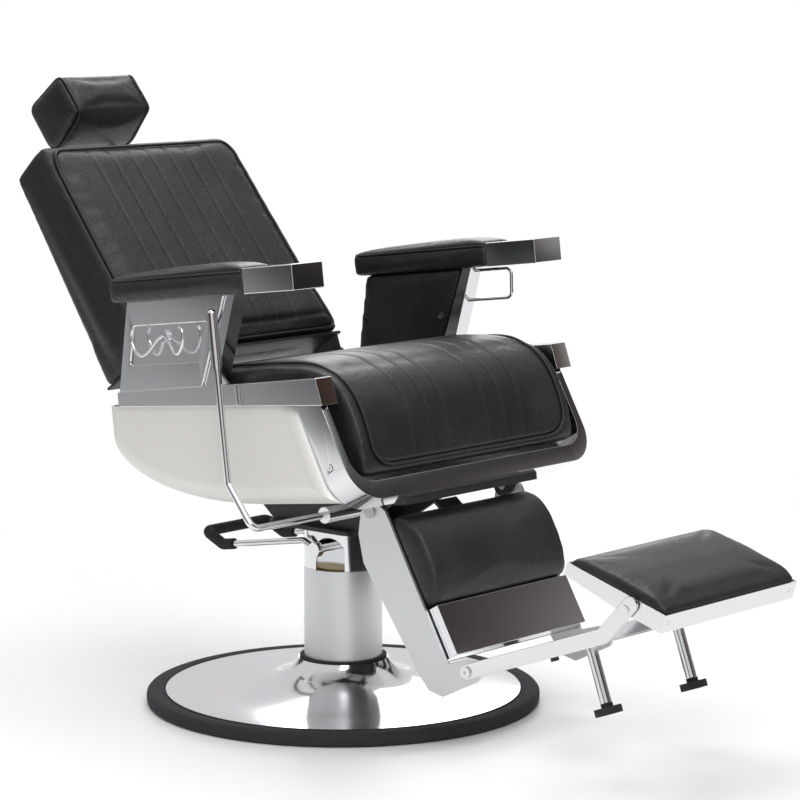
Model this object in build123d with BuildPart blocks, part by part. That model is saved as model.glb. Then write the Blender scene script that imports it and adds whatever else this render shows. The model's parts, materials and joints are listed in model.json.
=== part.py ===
"""Hydraulic barber chair: named sub-parts in one frame, +Z up, front of the chair towards -Y.

The origin is the column axis at the floor. The sitter's right is -X. All sizes are in millimetres.
"""

import os
from math import atan2, cos, degrees, radians, sin, tan

from build123d import *

# ---- base and column ----
BASE_RADIUS = 350.0
TRIM_WIDTH = 33.0
TRIM_HEIGHT = 24.0
TRIM_ROUND = 7.0
PLATE_LIFT = 4.0
PLATE_THICKNESS = 8.0
DISH_WALL = 3.0
DISH_RISE = 55.0
FLANGE_WIDTH = 42.5
FLANGE_THICKNESS = 12.0
FLANGE_BOLT_MARGIN = 15.5
FLANGE_BOLT_COUNT = 6
BOLT_RADIUS = 6.0
BOLT_HEAD_RADIUS = 9.5
BOLT_HEAD_HEIGHT = 7.0
SLEEVE_RADIUS = 69.5
SLEEVE_WALL = 6.0
SLEEVE_TOP = 243.0
SEAL_WIDTH = 6.0
SEAL_HEIGHT = 7.0
CYLINDER_RADIUS = 45.0
CYLINDER_TOP = 230.0
RAM_RADIUS = 26.0
RAM_LIFT_OFF = 40.0
COVER_RADIUS = 60.0
COVER_WALL = 4.0
COVER_TOP_THICKNESS = 6.0
SPIGOT_RADIUS = 22.0
SPIGOT_LENGTH = 24.0
BEARING_HEIGHT = 6.0
LIFT_TRAVEL = 150.0

# ---- pump head and lever ----
HEAD_HEIGHT = 75.0
HEAD_GAP = 0.6
WINDOW_WIDTH = 50.0
WINDOW_RISE = 60.0
WINDOW_DEPTH = 40.0
WINDOW_SHIFT = -24.0
AXLE_RADIUS = 7.0
AXLE_SHIFT = -8.0
AXLE_RISE = 39.0
LEVER_SIDE_ROOM = 9.5
LEVER_LENGTH = 262.0
LEVER_BAR_RADIUS = 6.0
LEVER_BOSS_RADIUS = 13.0
GRIP_RADIUS = 10.0
GRIP_REACH = 72.0

# ---- seat frame: a leaning frame set on the pump head ----
SEAT_TILT = 7.0
SEAT_FLOOR = 390.0
MOUNT_PLATE_SIZE = 190.0
MOUNT_PLATE_THICKNESS = 8.0
MOUNT_PLATE_ROUND = 12.0
MOUNT_BOLT_PITCH = 96.0
UNDERFRAME_HALF_WIDTH = 78.0
UNDERFRAME_WALL = 8.0
SHELL_HALF_WIDTH = 320.0
SHELL_REAR = 252.0
SHELL_WALL = 4.0
SHELL_SWEEP_RUN = 345.0
SHELL_SWEEP_RISE = 125.0
SHELL_EDGE_ROUND = 34.0
RAIL_HALF_WIDTH = 327.0
RAIL_WIDTH = 40.0
RAIL_WALL = 3.0
RAIL_REAR = 206.0
RAIL_FRONT = -276.0
RAIL_RAKE = 10.0
RAIL_LOW_REAR = 177.0
RAIL_LOW_FRONT = 165.0
RAIL_TOP_REAR = 200.0
RAIL_TOP_FRONT = 210.0
FACE_LEAN = 22.0
FACE_FOOT = -325.0
FACE_FOOT_RISE = 4.4
FRONT_HALF_WIDTH = 314.0
FRONT_DEPTH = 50.0
FRONT_SIDE_WALL = 16.0
FRONT_SILL = 31.0
FRONT_CORNER = 62.0
CUSHION_HALF_WIDTH = 276.0
CUSHION_REAR = 204.0
CUSHION_CROWN = 227.0
CUSHION_BASE = 178.0
CUSHION_SHOULDER = -170.0
CUSHION_NOSE = (-262.0, 198.0)
CUSHION_BROW = (-303.0, 120.0)
CUSHION_TOE = (-312.0, 45.0)

# ---- arms ----
ARM_BASE = 355.0
ARM_INNER = 275.0
ARM_WIDTH = 74.0
ARM_FRONT = -258.0
ARM_JOINT = -144.0
ARM_REAR = 180.0
BLOCK_HEIGHT = 43.0
BLOCK_WALL = 4.0
PAD_HEIGHT = 51.0
PAD_OVERHANG = 2.0
PANEL_INNER = 300.0
PANEL_OUTER = 326.0
PANEL_REAR_FOOT = 201.0
PANEL_REAR_TOP = 161.0
PANEL_FRONT_FOOT = -2.0
PANEL_FRONT_TOP = -73.0
RECESS_DEPTH = 3.0
RECESS_MARGIN = 20.0
RECESS_BORDER = 41.0
RECESS_ROUND = 6.0
INNER_PAD_THICKNESS = 16.0
STRUT_WIDTH_FOOT = 29.0
STRUT_WIDTH_TOP = 20.0
STRUT_FOOT = -3.0
STRUT_TOP = -74.0
STRUT_INNER = 290.0
STRUT_OUTER = 321.0
LOOP_RADIUS = 3.0
LOOP_REACH = 84.0
LOOP_DROP = 53.0
HOOK_RADIUS = 2.6
HOOK_PLATE_RADIUS = 10.0
HOOK_REAR = 77.0
HOOK_DROP = 61.0
HOOK_SPREAD = 57.0
HOOK_DIP = 31.0
HOOK_TIP = 15.0
HOOK_STAND = 17.0

# ---- backrest ----
BACK_TILT = 38.0
PIVOT_REAR = 224.1
PIVOT_RISE = 207.7
PIVOT_PIN_RADIUS = 8.0
BACK_TUBE_RADIUS = 14.0
BACK_HALF_LOW = 248.0
BACK_HALF_HIGH = 240.0
BACK_TOP_CORNER = 38.0
BACK_FRONT_LOW = -50.0
BACK_REAR_LOW = 84.0
BACK_FRONT_HIGH = -42.0
BACK_REAR_HIGH = 54.0
BACK_FOOT_FRONT = 29.0
BACK_FOOT_REAR = 38.0
BACK_TOP_FRONT = 487.0
BACK_TOP_REAR = 478.0
BACK_BOARD_THICKNESS = 6.0
BACK_PLATE = 5.0
BACK_EDGE_ROUND = 8.0
EAR_THICKNESS = 8.0
EAR_RADIUS = 20.0
EAR_OUTER = 252.0
BRACKET_THICKNESS = 8.0
SIDE_GAP = 2.0

# ---- headrest ----
HEAD_HALF_WIDTH = 98.0
HEAD_FRONT = -34.0
HEAD_REAR = 80.0
HEAD_FOOT = 544.0
HEAD_TOP = 648.0
BAR_SHIFT = 70.0
BAR_WIDTH = 14.0
BAR_THICKNESS = 5.0
BAR_FOOT = 326.0
BAR_TOP = 586.0
GUIDE_FOOT = 386.0
GUIDE_HEIGHT = 46.0

# ---- leg rest ----
LEG_TILT = 30.0
LEG_PIVOT_REAR = -226.0
LEG_PIVOT_RISE = -28.0
LEG_PIN_RADIUS = 7.0
LUG_RADIUS = 18.0
STRIP_WIDTH = 25.0
STRIP_DROP = -18.0
LEG_PLATE_OUTER = 181.0
LEG_PLATE_THICKNESS = 6.0
LEG_GAP = 1.0
CALF_TOP = -27.0
CALF_FOOT = -190.0
CALF_EDGE = -40.0
CALF_CROWN = -76.0
CALF_REAR = -19.0
KICK_FACE = -50.0
KICK_FOOT = -281.0
KICK_WALL = 3.0
BOARD_THICKNESS = 6.0
FOOT_PIVOT_FRONT = -68.0
FOOT_PIVOT_DROP = -316.0
FOOT_PIN_RADIUS = 6.0

# ---- footrest ----
ARM_TILT = 20.0
ARM_BAR_WIDTH = 26.0
ARM_BAR_THICKNESS = 6.0
ARM_BEND = -295.0
PAD_PIVOT_FRONT = -353.5
PAD_PIVOT_RISE = 29.9
ARM_TIP_EXTRA = 14.0
CROSSBAR_FRONT = -210.0
CROSSBAR_SIZE = 20.0
LEG_ROD_SHIFT = 116.0
LEG_ROD_RADIUS = 9.5
LEG_ROD_LENGTH = 94.0
FOOT_STEM_RADIUS = 5.0
FOOT_STEM_INSERT = 38.0
FOOT_PAD_RADIUS = 23.0
FOOT_PAD_THICKNESS = 12.0
FOOT_NUT_RADIUS = 10.0
FOOT_NUT_HEIGHT = 7.0
TRAY_TILT = -17.0
TRAY_FRONT = -70.5
TRAY_REAR = 133.0
TRAY_TOP = 22.0
TRAY_DROP = -9.0
TRAY_WALL = 3.0
TRAY_HALF_WIDTH = 180.0
TRAY_CUSHION_TOP = 41.0
TRAY_PIN_RADIUS = 5.0

# ---- recline lever ----
HUB_Y = -118.0
HUB_Z = 370.0
HUB_RADIUS = 14.0
HUB_END = -176.0
HUB_BORE_DEPTH = 90.0
ROD_RADIUS = 6.0
ROD_X = -350.0
HANDLE_RADIUS = 9.0
HANDLE_LENGTH = 92.0
HANDLE_TOP = (-27.0, 722.0)
ROD_KNEE = (-62.0, 440.0)

# ---- fits ----
RUNNING_FIT = 0.05
LOOSE_FIT = 0.5

FLANGE_RADIUS = SLEEVE_RADIUS + FLANGE_WIDTH
FLANGE_BOLT_RADIUS = SLEEVE_RADIUS + FLANGE_BOLT_MARGIN
LEVER_HALF_WIDTH = SLEEVE_RADIUS + LEVER_SIDE_ROOM
SEAT = (0.0, SEAT_FLOOR)


def frame_point(origin, lean, rear, up):
    """Return (y, z) of the point at rear and up in a frame that leans back by lean degrees."""
    a = radians(lean)
    return (origin[0] + rear * cos(a) + up * sin(a), origin[1] - rear * sin(a) + up * cos(a))


def seat_up(point):
    """Height of a point above the seat floor in the seat frame."""
    a = radians(SEAT_TILT)
    return point.Y * sin(a) + (point.Z - SEAT_FLOOR) * cos(a)


def side_plane(origin, lean, x=0.0):
    """Plane seen from the side: local x runs rearward, local y runs up the lean, normal +X."""
    a = radians(lean)
    return Plane(origin=(x, origin[0], origin[1]), x_dir=(0, cos(a), -sin(a)), z_dir=(1, 0, 0))


def plan_plane(origin, lean, up=0.0):
    """Plane seen from above: local x is X, local y runs rearward."""
    a = radians(lean)
    y, z = frame_point(origin, lean, 0, up)
    return Plane(origin=(0, y, z), x_dir=(1, 0, 0), z_dir=(0, sin(a), cos(a)))


def face_plane(origin, lean, rear=0.0):
    """Plane seen from the front: local x is X, local y runs up the lean, normal forward."""
    a = radians(lean)
    y, z = frame_point(origin, lean, rear, 0)
    return Plane(origin=(0, y, z), x_dir=(1, 0, 0), z_dir=(0, -cos(a), sin(a)))


def save(builder, label):
    """Name the finished sub-part and write it to parts/."""
    builder.part.label = label
    export_step(builder.part, "parts/" + label + ".step")


def rail_low(rear):
    """Height of the rail's lower edge above the seat floor at a rearward distance."""
    share = (SHELL_REAR - rear) / (SHELL_REAR - RAIL_FRONT)
    return RAIL_LOW_REAR + (RAIL_LOW_FRONT - RAIL_LOW_REAR) * share


def rail_top(rear):
    """Height of the rail's upper edge above the seat floor at a rearward distance."""
    share = (SHELL_REAR - rear) / (SHELL_REAR - RAIL_FRONT)
    return RAIL_TOP_REAR + (RAIL_TOP_FRONT - RAIL_TOP_REAR) * share


def face_rear(up, depth):
    """Rearward distance of the front frame's plane, set back by depth, at a height in the seat frame."""
    a = radians(FACE_LEAN)
    return FACE_FOOT + depth / cos(a) + (up - FACE_FOOT_RISE) * tan(a)


def meet_rail(depth):
    """Point where the front frame's plane, set back by depth, meets the rails' lower edge."""
    start = face_rear(0, depth)
    slope = (RAIL_LOW_REAR - RAIL_LOW_FRONT) / (SHELL_REAR - RAIL_FRONT)
    up = rail_low(start) / (1 - slope * tan(radians(FACE_LEAN)))
    return (face_rear(up, depth), up)


os.makedirs("parts", exist_ok=True)

# ---- derived frames ----
FACE_ORIGIN = frame_point(SEAT, SEAT_TILT, FACE_FOOT, FACE_FOOT_RISE)
FACE_TILT = SEAT_TILT + FACE_LEAN
BACK_PIVOT = frame_point(SEAT, SEAT_TILT, PIVOT_REAR, PIVOT_RISE)
LEG_PIVOT = frame_point(SEAT, SEAT_TILT, LEG_PIVOT_REAR, LEG_PIVOT_RISE)
FOOT_PIVOT = frame_point(LEG_PIVOT, LEG_TILT, FOOT_PIVOT_FRONT, FOOT_PIVOT_DROP)
PAD_PIVOT = frame_point(FOOT_PIVOT, ARM_TILT, PAD_PIVOT_FRONT, PAD_PIVOT_RISE)
PLATE_TOP = PLATE_LIFT + PLATE_THICKNESS
FLANGE_TOP = PLATE_TOP + FLANGE_THICKNESS
HEAD_FOOT_Z = SLEEVE_TOP + HEAD_GAP
HEAD_TOP_Z = HEAD_FOOT_Z + HEAD_HEIGHT
AXLE = (AXLE_SHIFT, HEAD_FOOT_Z + AXLE_RISE)
INNER_RADIUS = BASE_RADIUS - TRIM_WIDTH


# ================= base =================
with BuildPart() as base_trim_ring:
    with BuildSketch(Plane.XZ) as trim_profile:
        with BuildLine():
            Polyline(
                (INNER_RADIUS, 0),
                (BASE_RADIUS - TRIM_ROUND / 2, 0),
                (BASE_RADIUS, TRIM_ROUND / 2),
                (BASE_RADIUS, TRIM_HEIGHT / 2),
                (BASE_RADIUS - TRIM_ROUND, TRIM_HEIGHT - TRIM_ROUND / 2),
                (BASE_RADIUS - 2 * TRIM_ROUND, TRIM_HEIGHT),
                (INNER_RADIUS, TRIM_HEIGHT),
                close=True,
            )
        make_face()
    revolve(axis=Axis.Z)
save(base_trim_ring, "base_trim_ring")

with BuildPart() as base_plate:
    with BuildSketch(Plane.XY.offset(PLATE_LIFT)):
        Circle(INNER_RADIUS)
        with PolarLocations(FLANGE_BOLT_RADIUS, FLANGE_BOLT_COUNT):
            Circle(BOLT_RADIUS + LOOSE_FIT, mode=Mode.SUBTRACT)
    extrude(amount=PLATE_THICKNESS)
save(base_plate, "base_plate")

COLLAR_RADIUS = SLEEVE_RADIUS + SEAL_WIDTH + 2.0
NECK_RADIUS = COLLAR_RADIUS + DISH_WALL
DISH_TOP = TRIM_HEIGHT + DISH_RISE
DISH_EDGE = INNER_RADIUS - 1.0
DISH_PROFILE = ((0.624, 0.08), (0.329, 0.21), (0.141, 0.42), (0.047, 0.69))


def dish_point(share, rise, wall=0.0):
    """Point of the dish's profile at a share of its run and of its rise, set in by a wall thickness."""
    radius = NECK_RADIUS + share * (DISH_EDGE - NECK_RADIUS) - wall * (1 - share)
    return (radius, TRIM_HEIGHT + DISH_RISE * rise - wall)


with BuildPart() as base_dish:
    with BuildSketch(Plane.XZ):
        with BuildLine():
            outer = Spline(
                (DISH_EDGE, TRIM_HEIGHT),
                *[dish_point(share, rise) for share, rise in DISH_PROFILE],
                (NECK_RADIUS, DISH_TOP),
            )
            inner = Spline(
                (COLLAR_RADIUS, DISH_TOP),
                *[dish_point(share, rise, DISH_WALL) for share, rise in reversed(DISH_PROFILE)],
                (DISH_EDGE - DISH_WALL, TRIM_HEIGHT - DISH_WALL),
            )
            Line(outer @ 1, inner @ 0)
            Polyline(inner @ 1, (DISH_EDGE - DISH_WALL, PLATE_TOP), (DISH_EDGE, PLATE_TOP), outer @ 0)
        make_face()
    revolve(axis=Axis.Z)
save(base_dish, "base_dish")

with BuildPart() as flange_bolts:
    with BuildSketch(Plane.XY.offset(PLATE_LIFT)):
        with PolarLocations(FLANGE_BOLT_RADIUS, FLANGE_BOLT_COUNT):
            Circle(BOLT_RADIUS)
    extrude(amount=PLATE_THICKNESS + FLANGE_THICKNESS)
    with BuildSketch(Plane.XY.offset(FLANGE_TOP)):
        with PolarLocations(FLANGE_BOLT_RADIUS, FLANGE_BOLT_COUNT):
            RegularPolygon(BOLT_HEAD_RADIUS, 6)
    extrude(amount=BOLT_HEAD_HEIGHT)
save(flange_bolts, "flange_bolts")


def tube(bottom, top, radius, bore):
    """Upright tube about the column axis."""
    with BuildPart() as upright:
        with BuildSketch(Plane.XY.offset(bottom)):
            Circle(radius)
            Circle(bore, mode=Mode.SUBTRACT)
        extrude(amount=top - bottom)
    return upright


with BuildPart() as column_sleeve:
    with BuildSketch(Plane.XY.offset(PLATE_TOP)):
        Circle(FLANGE_RADIUS)
        with PolarLocations(FLANGE_BOLT_RADIUS, FLANGE_BOLT_COUNT):
            Circle(BOLT_RADIUS + LOOSE_FIT, mode=Mode.SUBTRACT)
    extrude(amount=FLANGE_THICKNESS)
    add(tube(FLANGE_TOP, SLEEVE_TOP, SLEEVE_RADIUS, SLEEVE_RADIUS - SLEEVE_WALL).part)
save(column_sleeve, "column_sleeve")
column_seal = tube(DISH_TOP - SEAL_HEIGHT / 2, DISH_TOP + SEAL_HEIGHT / 2, COLLAR_RADIUS, SLEEVE_RADIUS)
save(column_seal, "column_seal")
pump_cylinder = tube(FLANGE_TOP, CYLINDER_TOP, CYLINDER_RADIUS, RAM_RADIUS + RUNNING_FIT)
save(pump_cylinder, "pump_cylinder")

# ================= ram =================
COVER_TOP = SLEEVE_TOP - BEARING_HEIGHT / 2
with BuildPart() as pump_ram:
    with BuildSketch(Plane.XY.offset(RAM_LIFT_OFF)):
        Circle(RAM_RADIUS)
    extrude(amount=COVER_TOP - RAM_LIFT_OFF)
    with BuildSketch(Plane.XY.offset(COVER_TOP)):
        Circle(SPIGOT_RADIUS)
    extrude(amount=SPIGOT_LENGTH)
    add(tube(RAM_LIFT_OFF, COVER_TOP, COVER_RADIUS, COVER_RADIUS - COVER_WALL).part)
    add(tube(COVER_TOP - COVER_TOP_THICKNESS, COVER_TOP, COVER_RADIUS, RAM_RADIUS / 2).part)
save(pump_ram, "pump_ram")

BEARING_BORE = SPIGOT_RADIUS + LOOSE_FIT
swivel_bearing = tube(COVER_TOP, COVER_TOP + BEARING_HEIGHT, COVER_RADIUS - COVER_WALL, BEARING_BORE)
save(swivel_bearing, "swivel_bearing")

# ================= pump head =================
BEARING_TOP = COVER_TOP + BEARING_HEIGHT
with BuildPart() as pump_head:
    with BuildSketch(Plane.XY.offset(HEAD_FOOT_Z)):
        Circle(SLEEVE_RADIUS)
    extrude(amount=HEAD_HEIGHT)
    with BuildSketch(Plane.XY.offset(HEAD_FOOT_Z)):
        Circle(COVER_RADIUS - COVER_WALL + LOOSE_FIT)
    extrude(amount=BEARING_TOP + RUNNING_FIT - HEAD_FOOT_Z, mode=Mode.SUBTRACT)
    with BuildSketch(Plane.XY.offset(HEAD_FOOT_Z)):
        Circle(SPIGOT_RADIUS + RUNNING_FIT)
    extrude(amount=COVER_TOP + SPIGOT_LENGTH + LOOSE_FIT - HEAD_FOOT_Z, mode=Mode.SUBTRACT)
    for window_start in (-SLEEVE_RADIUS - 1.0, SLEEVE_RADIUS + 1.0 - WINDOW_DEPTH):
        with BuildSketch(Plane.YZ.offset(window_start)):
            with Locations((WINDOW_SHIFT, HEAD_FOOT_Z + (WINDOW_RISE - WINDOW_WIDTH / 2) / 2 - 1.0)):
                Rectangle(WINDOW_WIDTH, WINDOW_RISE - WINDOW_WIDTH / 2 + 2.0)
            with Locations((WINDOW_SHIFT, HEAD_FOOT_Z + WINDOW_RISE - WINDOW_WIDTH / 2)):
                Circle(WINDOW_WIDTH / 2)
        extrude(amount=WINDOW_DEPTH, mode=Mode.SUBTRACT)
    with BuildSketch(Plane.YZ.offset(-SLEEVE_RADIUS)):
        with Locations(AXLE):
            Circle(AXLE_RADIUS + RUNNING_FIT)
    extrude(amount=2 * SLEEVE_RADIUS, mode=Mode.SUBTRACT)
    with BuildSketch(Plane.XY.offset(HEAD_TOP_Z)):
        with GridLocations(MOUNT_BOLT_PITCH, MOUNT_BOLT_PITCH / 2, 2, 2):
            Circle(BOLT_RADIUS)
    extrude(amount=-BOLT_HEAD_HEIGHT, mode=Mode.SUBTRACT)
save(pump_head, "pump_head")

with BuildPart() as lever_axle:
    with BuildSketch(Plane.YZ.offset(-LEVER_HALF_WIDTH + LEVER_BOSS_RADIUS / 2)):
        with Locations(AXLE):
            Circle(AXLE_RADIUS)
    extrude(amount=2 * LEVER_HALF_WIDTH - LEVER_BOSS_RADIUS)
save(lever_axle, "lever_axle")

LEVER_KNEE = AXLE[0] + 30.0
LEVER_BEND = LEVER_LENGTH - 42.0
LEVER_LOW = AXLE[1] - 19.0
LEVER_PATH = (
    (LEVER_KNEE, AXLE[1] + 13.0),
    (LEVER_BEND, LEVER_LOW),
    (LEVER_LENGTH, AXLE[1]),
)


def lever_points(start):
    """Centre line of the U lever from the right side round the back to the left side."""
    right = [(-LEVER_HALF_WIDTH, y, z) for y, z in (start, *LEVER_PATH)]
    left = [(LEVER_HALF_WIDTH, y, z) for y, z in reversed((start, *LEVER_PATH))]
    return right + left


with BuildPart() as pump_lever:
    with BuildLine() as lever_line:
        FilletPolyline(*lever_points(AXLE), radius=11.0)
    with BuildSketch(Plane(origin=lever_line.line @ 0, z_dir=lever_line.line % 0)):
        Circle(LEVER_BAR_RADIUS)
    sweep(path=lever_line.line)
    for boss_x in (-LEVER_HALF_WIDTH - LEVER_BOSS_RADIUS / 2, LEVER_HALF_WIDTH - LEVER_BOSS_RADIUS / 2):
        with BuildSketch(Plane.YZ.offset(boss_x)):
            with Locations(AXLE):
                Circle(LEVER_BOSS_RADIUS)
        extrude(amount=LEVER_BOSS_RADIUS)
save(pump_lever, "pump_lever")

GRIP_START = (LEVER_BEND - 28.0, LEVER_LOW + 28.0 * (AXLE[1] + 13.0 - LEVER_LOW) / (LEVER_BEND - LEVER_KNEE))
with BuildPart() as lever_grip:
    grip_run = [(-LEVER_HALF_WIDTH, *GRIP_START)]
    grip_run += [(-LEVER_HALF_WIDTH, y, z) for y, z in LEVER_PATH[1:]]
    grip_run += [(-x, y, z) for x, y, z in reversed(grip_run)]
    with BuildLine() as grip_line:
        FilletPolyline(*grip_run, radius=11.0)
    with BuildSketch(Plane(origin=grip_line.line @ 0, z_dir=grip_line.line % 0)):
        Circle(GRIP_RADIUS)
        Circle(LEVER_BAR_RADIUS, mode=Mode.SUBTRACT)
    sweep(path=grip_line.line)
save(lever_grip, "lever_grip")

# ================= seat mounting =================
MOUNT_TOP = HEAD_TOP_Z + MOUNT_PLATE_THICKNESS

with BuildPart() as mount_bolts:
    with BuildSketch(Plane.XY.offset(HEAD_TOP_Z - BOLT_HEAD_HEIGHT)):
        with GridLocations(MOUNT_BOLT_PITCH, MOUNT_BOLT_PITCH / 2, 2, 2):
            Circle(BOLT_RADIUS)
    extrude(amount=BOLT_HEAD_HEIGHT + MOUNT_PLATE_THICKNESS)
    with BuildSketch(Plane.XY.offset(MOUNT_TOP)):
        with GridLocations(MOUNT_BOLT_PITCH, MOUNT_BOLT_PITCH / 2, 2, 2):
            RegularPolygon(BOLT_HEAD_RADIUS, 6)
    extrude(amount=BOLT_HEAD_HEIGHT)
save(mount_bolts, "mount_bolts")

UNDERFRAME_REAR = 150.0
UNDERFRAME_FRONT = -240.0
with BuildPart() as underframe:
    with BuildSketch(Plane.YZ.offset(-UNDERFRAME_HALF_WIDTH)):
        with BuildLine():
            Polyline(
                (-MOUNT_PLATE_SIZE / 2, MOUNT_TOP),
                (MOUNT_PLATE_SIZE / 2, MOUNT_TOP),
                frame_point(SEAT, SEAT_TILT, UNDERFRAME_REAR, 0),
                frame_point(SEAT, SEAT_TILT, UNDERFRAME_FRONT, 0),
                close=True,
            )
        make_face()
    extrude(amount=2 * UNDERFRAME_HALF_WIDTH)
    with BuildSketch(Plane.XY.offset(MOUNT_TOP)):
        Rectangle(2 * (UNDERFRAME_HALF_WIDTH - UNDERFRAME_WALL), 4 * MOUNT_PLATE_SIZE)
    extrude(amount=MOUNT_PLATE_SIZE, mode=Mode.SUBTRACT)
    with BuildSketch(Plane.XY.offset(HEAD_TOP_Z)):
        RectangleRounded(MOUNT_PLATE_SIZE, MOUNT_PLATE_SIZE, MOUNT_PLATE_ROUND)
        with GridLocations(MOUNT_BOLT_PITCH, MOUNT_BOLT_PITCH / 2, 2, 2):
            Circle(BOLT_RADIUS, mode=Mode.SUBTRACT)
    extrude(amount=MOUNT_PLATE_THICKNESS)
save(underframe, "underframe")


def frame_foot(depth):
    """Point on the front frame's lower face, set back by depth, in the seat frame."""
    a = radians(FACE_LEAN)
    return (FACE_FOOT + depth * cos(a), FACE_FOOT_RISE - depth * sin(a))


STRIP_REAR = face_rear(0, FRONT_DEPTH) + STRIP_WIDTH
LUG_OUTER = LEG_PLATE_OUTER - LEG_PLATE_THICKNESS - 3.0
with BuildPart() as front_crossbar:
    with BuildSketch(side_plane(SEAT, SEAT_TILT, -LUG_OUTER)):
        with BuildLine():
            Polyline(
                frame_foot(FRONT_DEPTH / 2),
                (frame_foot(FRONT_DEPTH / 2)[0], STRIP_DROP),
                (STRIP_REAR, STRIP_DROP),
                (STRIP_REAR, 0),
                (face_rear(0, FRONT_DEPTH), 0),
                frame_foot(FRONT_DEPTH),
                close=True,
            )
        make_face()
    extrude(amount=2 * LUG_OUTER)
    for lug_x in (-LUG_OUTER, LUG_OUTER - EAR_THICKNESS):
        with BuildSketch(side_plane(SEAT, SEAT_TILT, lug_x)):
            with BuildLine():
                Polyline(
                    (STRIP_REAR - EAR_THICKNESS, STRIP_DROP),
                    (LEG_PIVOT_REAR - LUG_RADIUS * 0.7, LEG_PIVOT_RISE - LUG_RADIUS * 0.6),
                    (LEG_PIVOT_REAR + LUG_RADIUS, LEG_PIVOT_RISE),
                    (LEG_PIVOT_REAR + LUG_RADIUS, 0),
                    (STRIP_REAR - EAR_THICKNESS, 0),
                    close=True,
                )
            make_face()
            with Locations((LEG_PIVOT_REAR, LEG_PIVOT_RISE)):
                Circle(LUG_RADIUS)
                Circle(LEG_PIN_RADIUS, mode=Mode.SUBTRACT)
        extrude(amount=EAR_THICKNESS)
save(front_crossbar, "front_crossbar")


# ================= seat shell and rails =================
def tub(inset):
    """Solid filling the seat tub, made smaller by inset on its closed sides."""
    half = SHELL_HALF_WIDTH - inset
    rear = SHELL_REAR - inset
    front = face_rear(inset, FRONT_DEPTH)
    sweep_front = SHELL_REAR - SHELL_SWEEP_RUN
    with BuildPart() as solid:
        with BuildSketch(side_plane(SEAT, SEAT_TILT, -half)):
            with BuildLine():
                Line((front, inset), (sweep_front, inset))
                EllipticalCenterArc(
                    (sweep_front, SHELL_SWEEP_RISE),
                    SHELL_SWEEP_RUN - inset,
                    SHELL_SWEEP_RISE - inset,
                    start_angle=270,
                    arc_size=90,
                )
                Line((rear, SHELL_SWEEP_RISE), (rear, rail_low(rear)))
                Line((rear, rail_low(rear)), meet_rail(FRONT_DEPTH))
                Line(meet_rail(FRONT_DEPTH), (front, inset))
            make_face()
        extrude(amount=2 * half)
        fillet(side_chain(solid, half), SHELL_EDGE_ROUND - inset)
    return solid


def side_chain(solid, half):
    """Lower, swept and rear edges of a tub's two side faces, which run into each other smoothly."""
    side_edges = solid.edges().filter_by(lambda edge: abs(abs((edge @ 0.5).X) - half) < SHELL_WALL / 4)
    low_edges = side_edges.filter_by(lambda edge: seat_up(edge @ 0.5) < rail_low(0) - 2 * SHELL_WALL)
    return low_edges.filter_by(lambda edge: (edge @ 0.5).Y > face_rear(0, FRONT_DEPTH) * 0.95)


with BuildPart() as seat_shell:
    add(tub(0.0).part)
    add(tub(SHELL_WALL).part, mode=Mode.SUBTRACT)
save(seat_shell, "seat_shell")


def rail(inner, outer, inset):
    """Solid filling one side rail between two X values, made smaller by inset all round but below."""
    with BuildPart() as bar:
        with BuildSketch(side_plane(SEAT, SEAT_TILT, inner)):
            with BuildLine():
                Polyline(
                    (RAIL_FRONT + inset, rail_low(RAIL_FRONT)),
                    (RAIL_REAR - inset, rail_low(RAIL_REAR)),
                    (RAIL_REAR - inset, rail_top(RAIL_REAR) - inset),
                    (RAIL_FRONT + RAIL_RAKE + inset, rail_top(RAIL_FRONT + RAIL_RAKE) - inset),
                    close=True,
                )
            make_face()
        extrude(amount=outer - inner)
    return bar


RAIL_INNER = RAIL_HALF_WIDTH - RAIL_WIDTH
with BuildPart() as side_rails:
    add(rail(RAIL_INNER, RAIL_HALF_WIDTH, 0.0).part)
    add(rail(RAIL_INNER + RAIL_WALL, RAIL_HALF_WIDTH - RAIL_WALL, RAIL_WALL).part, mode=Mode.SUBTRACT)
    mirror(about=Plane.YZ)
save(side_rails, "side_rails")

REAR_BAR_DEPTH = 26.0
REAR_BAR_CLEAR = 2.0
REAR_BAR_TOP = PIVOT_RISE - EAR_RADIUS - REAR_BAR_CLEAR
BRACKET_INNER = EAR_OUTER + SIDE_GAP
with BuildPart() as rear_rail:
    with BuildSketch(side_plane(SEAT, SEAT_TILT, -BRACKET_INNER)):
        with BuildLine():
            Polyline(
                (SHELL_REAR - REAR_BAR_DEPTH, rail_low(SHELL_REAR - REAR_BAR_DEPTH)),
                (SHELL_REAR, rail_low(SHELL_REAR)),
                (SHELL_REAR, REAR_BAR_TOP),
                (SHELL_REAR - REAR_BAR_DEPTH, REAR_BAR_TOP),
                close=True,
            )
        make_face()
    extrude(amount=2 * BRACKET_INNER)
save(rear_rail, "rear_rail")

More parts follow.
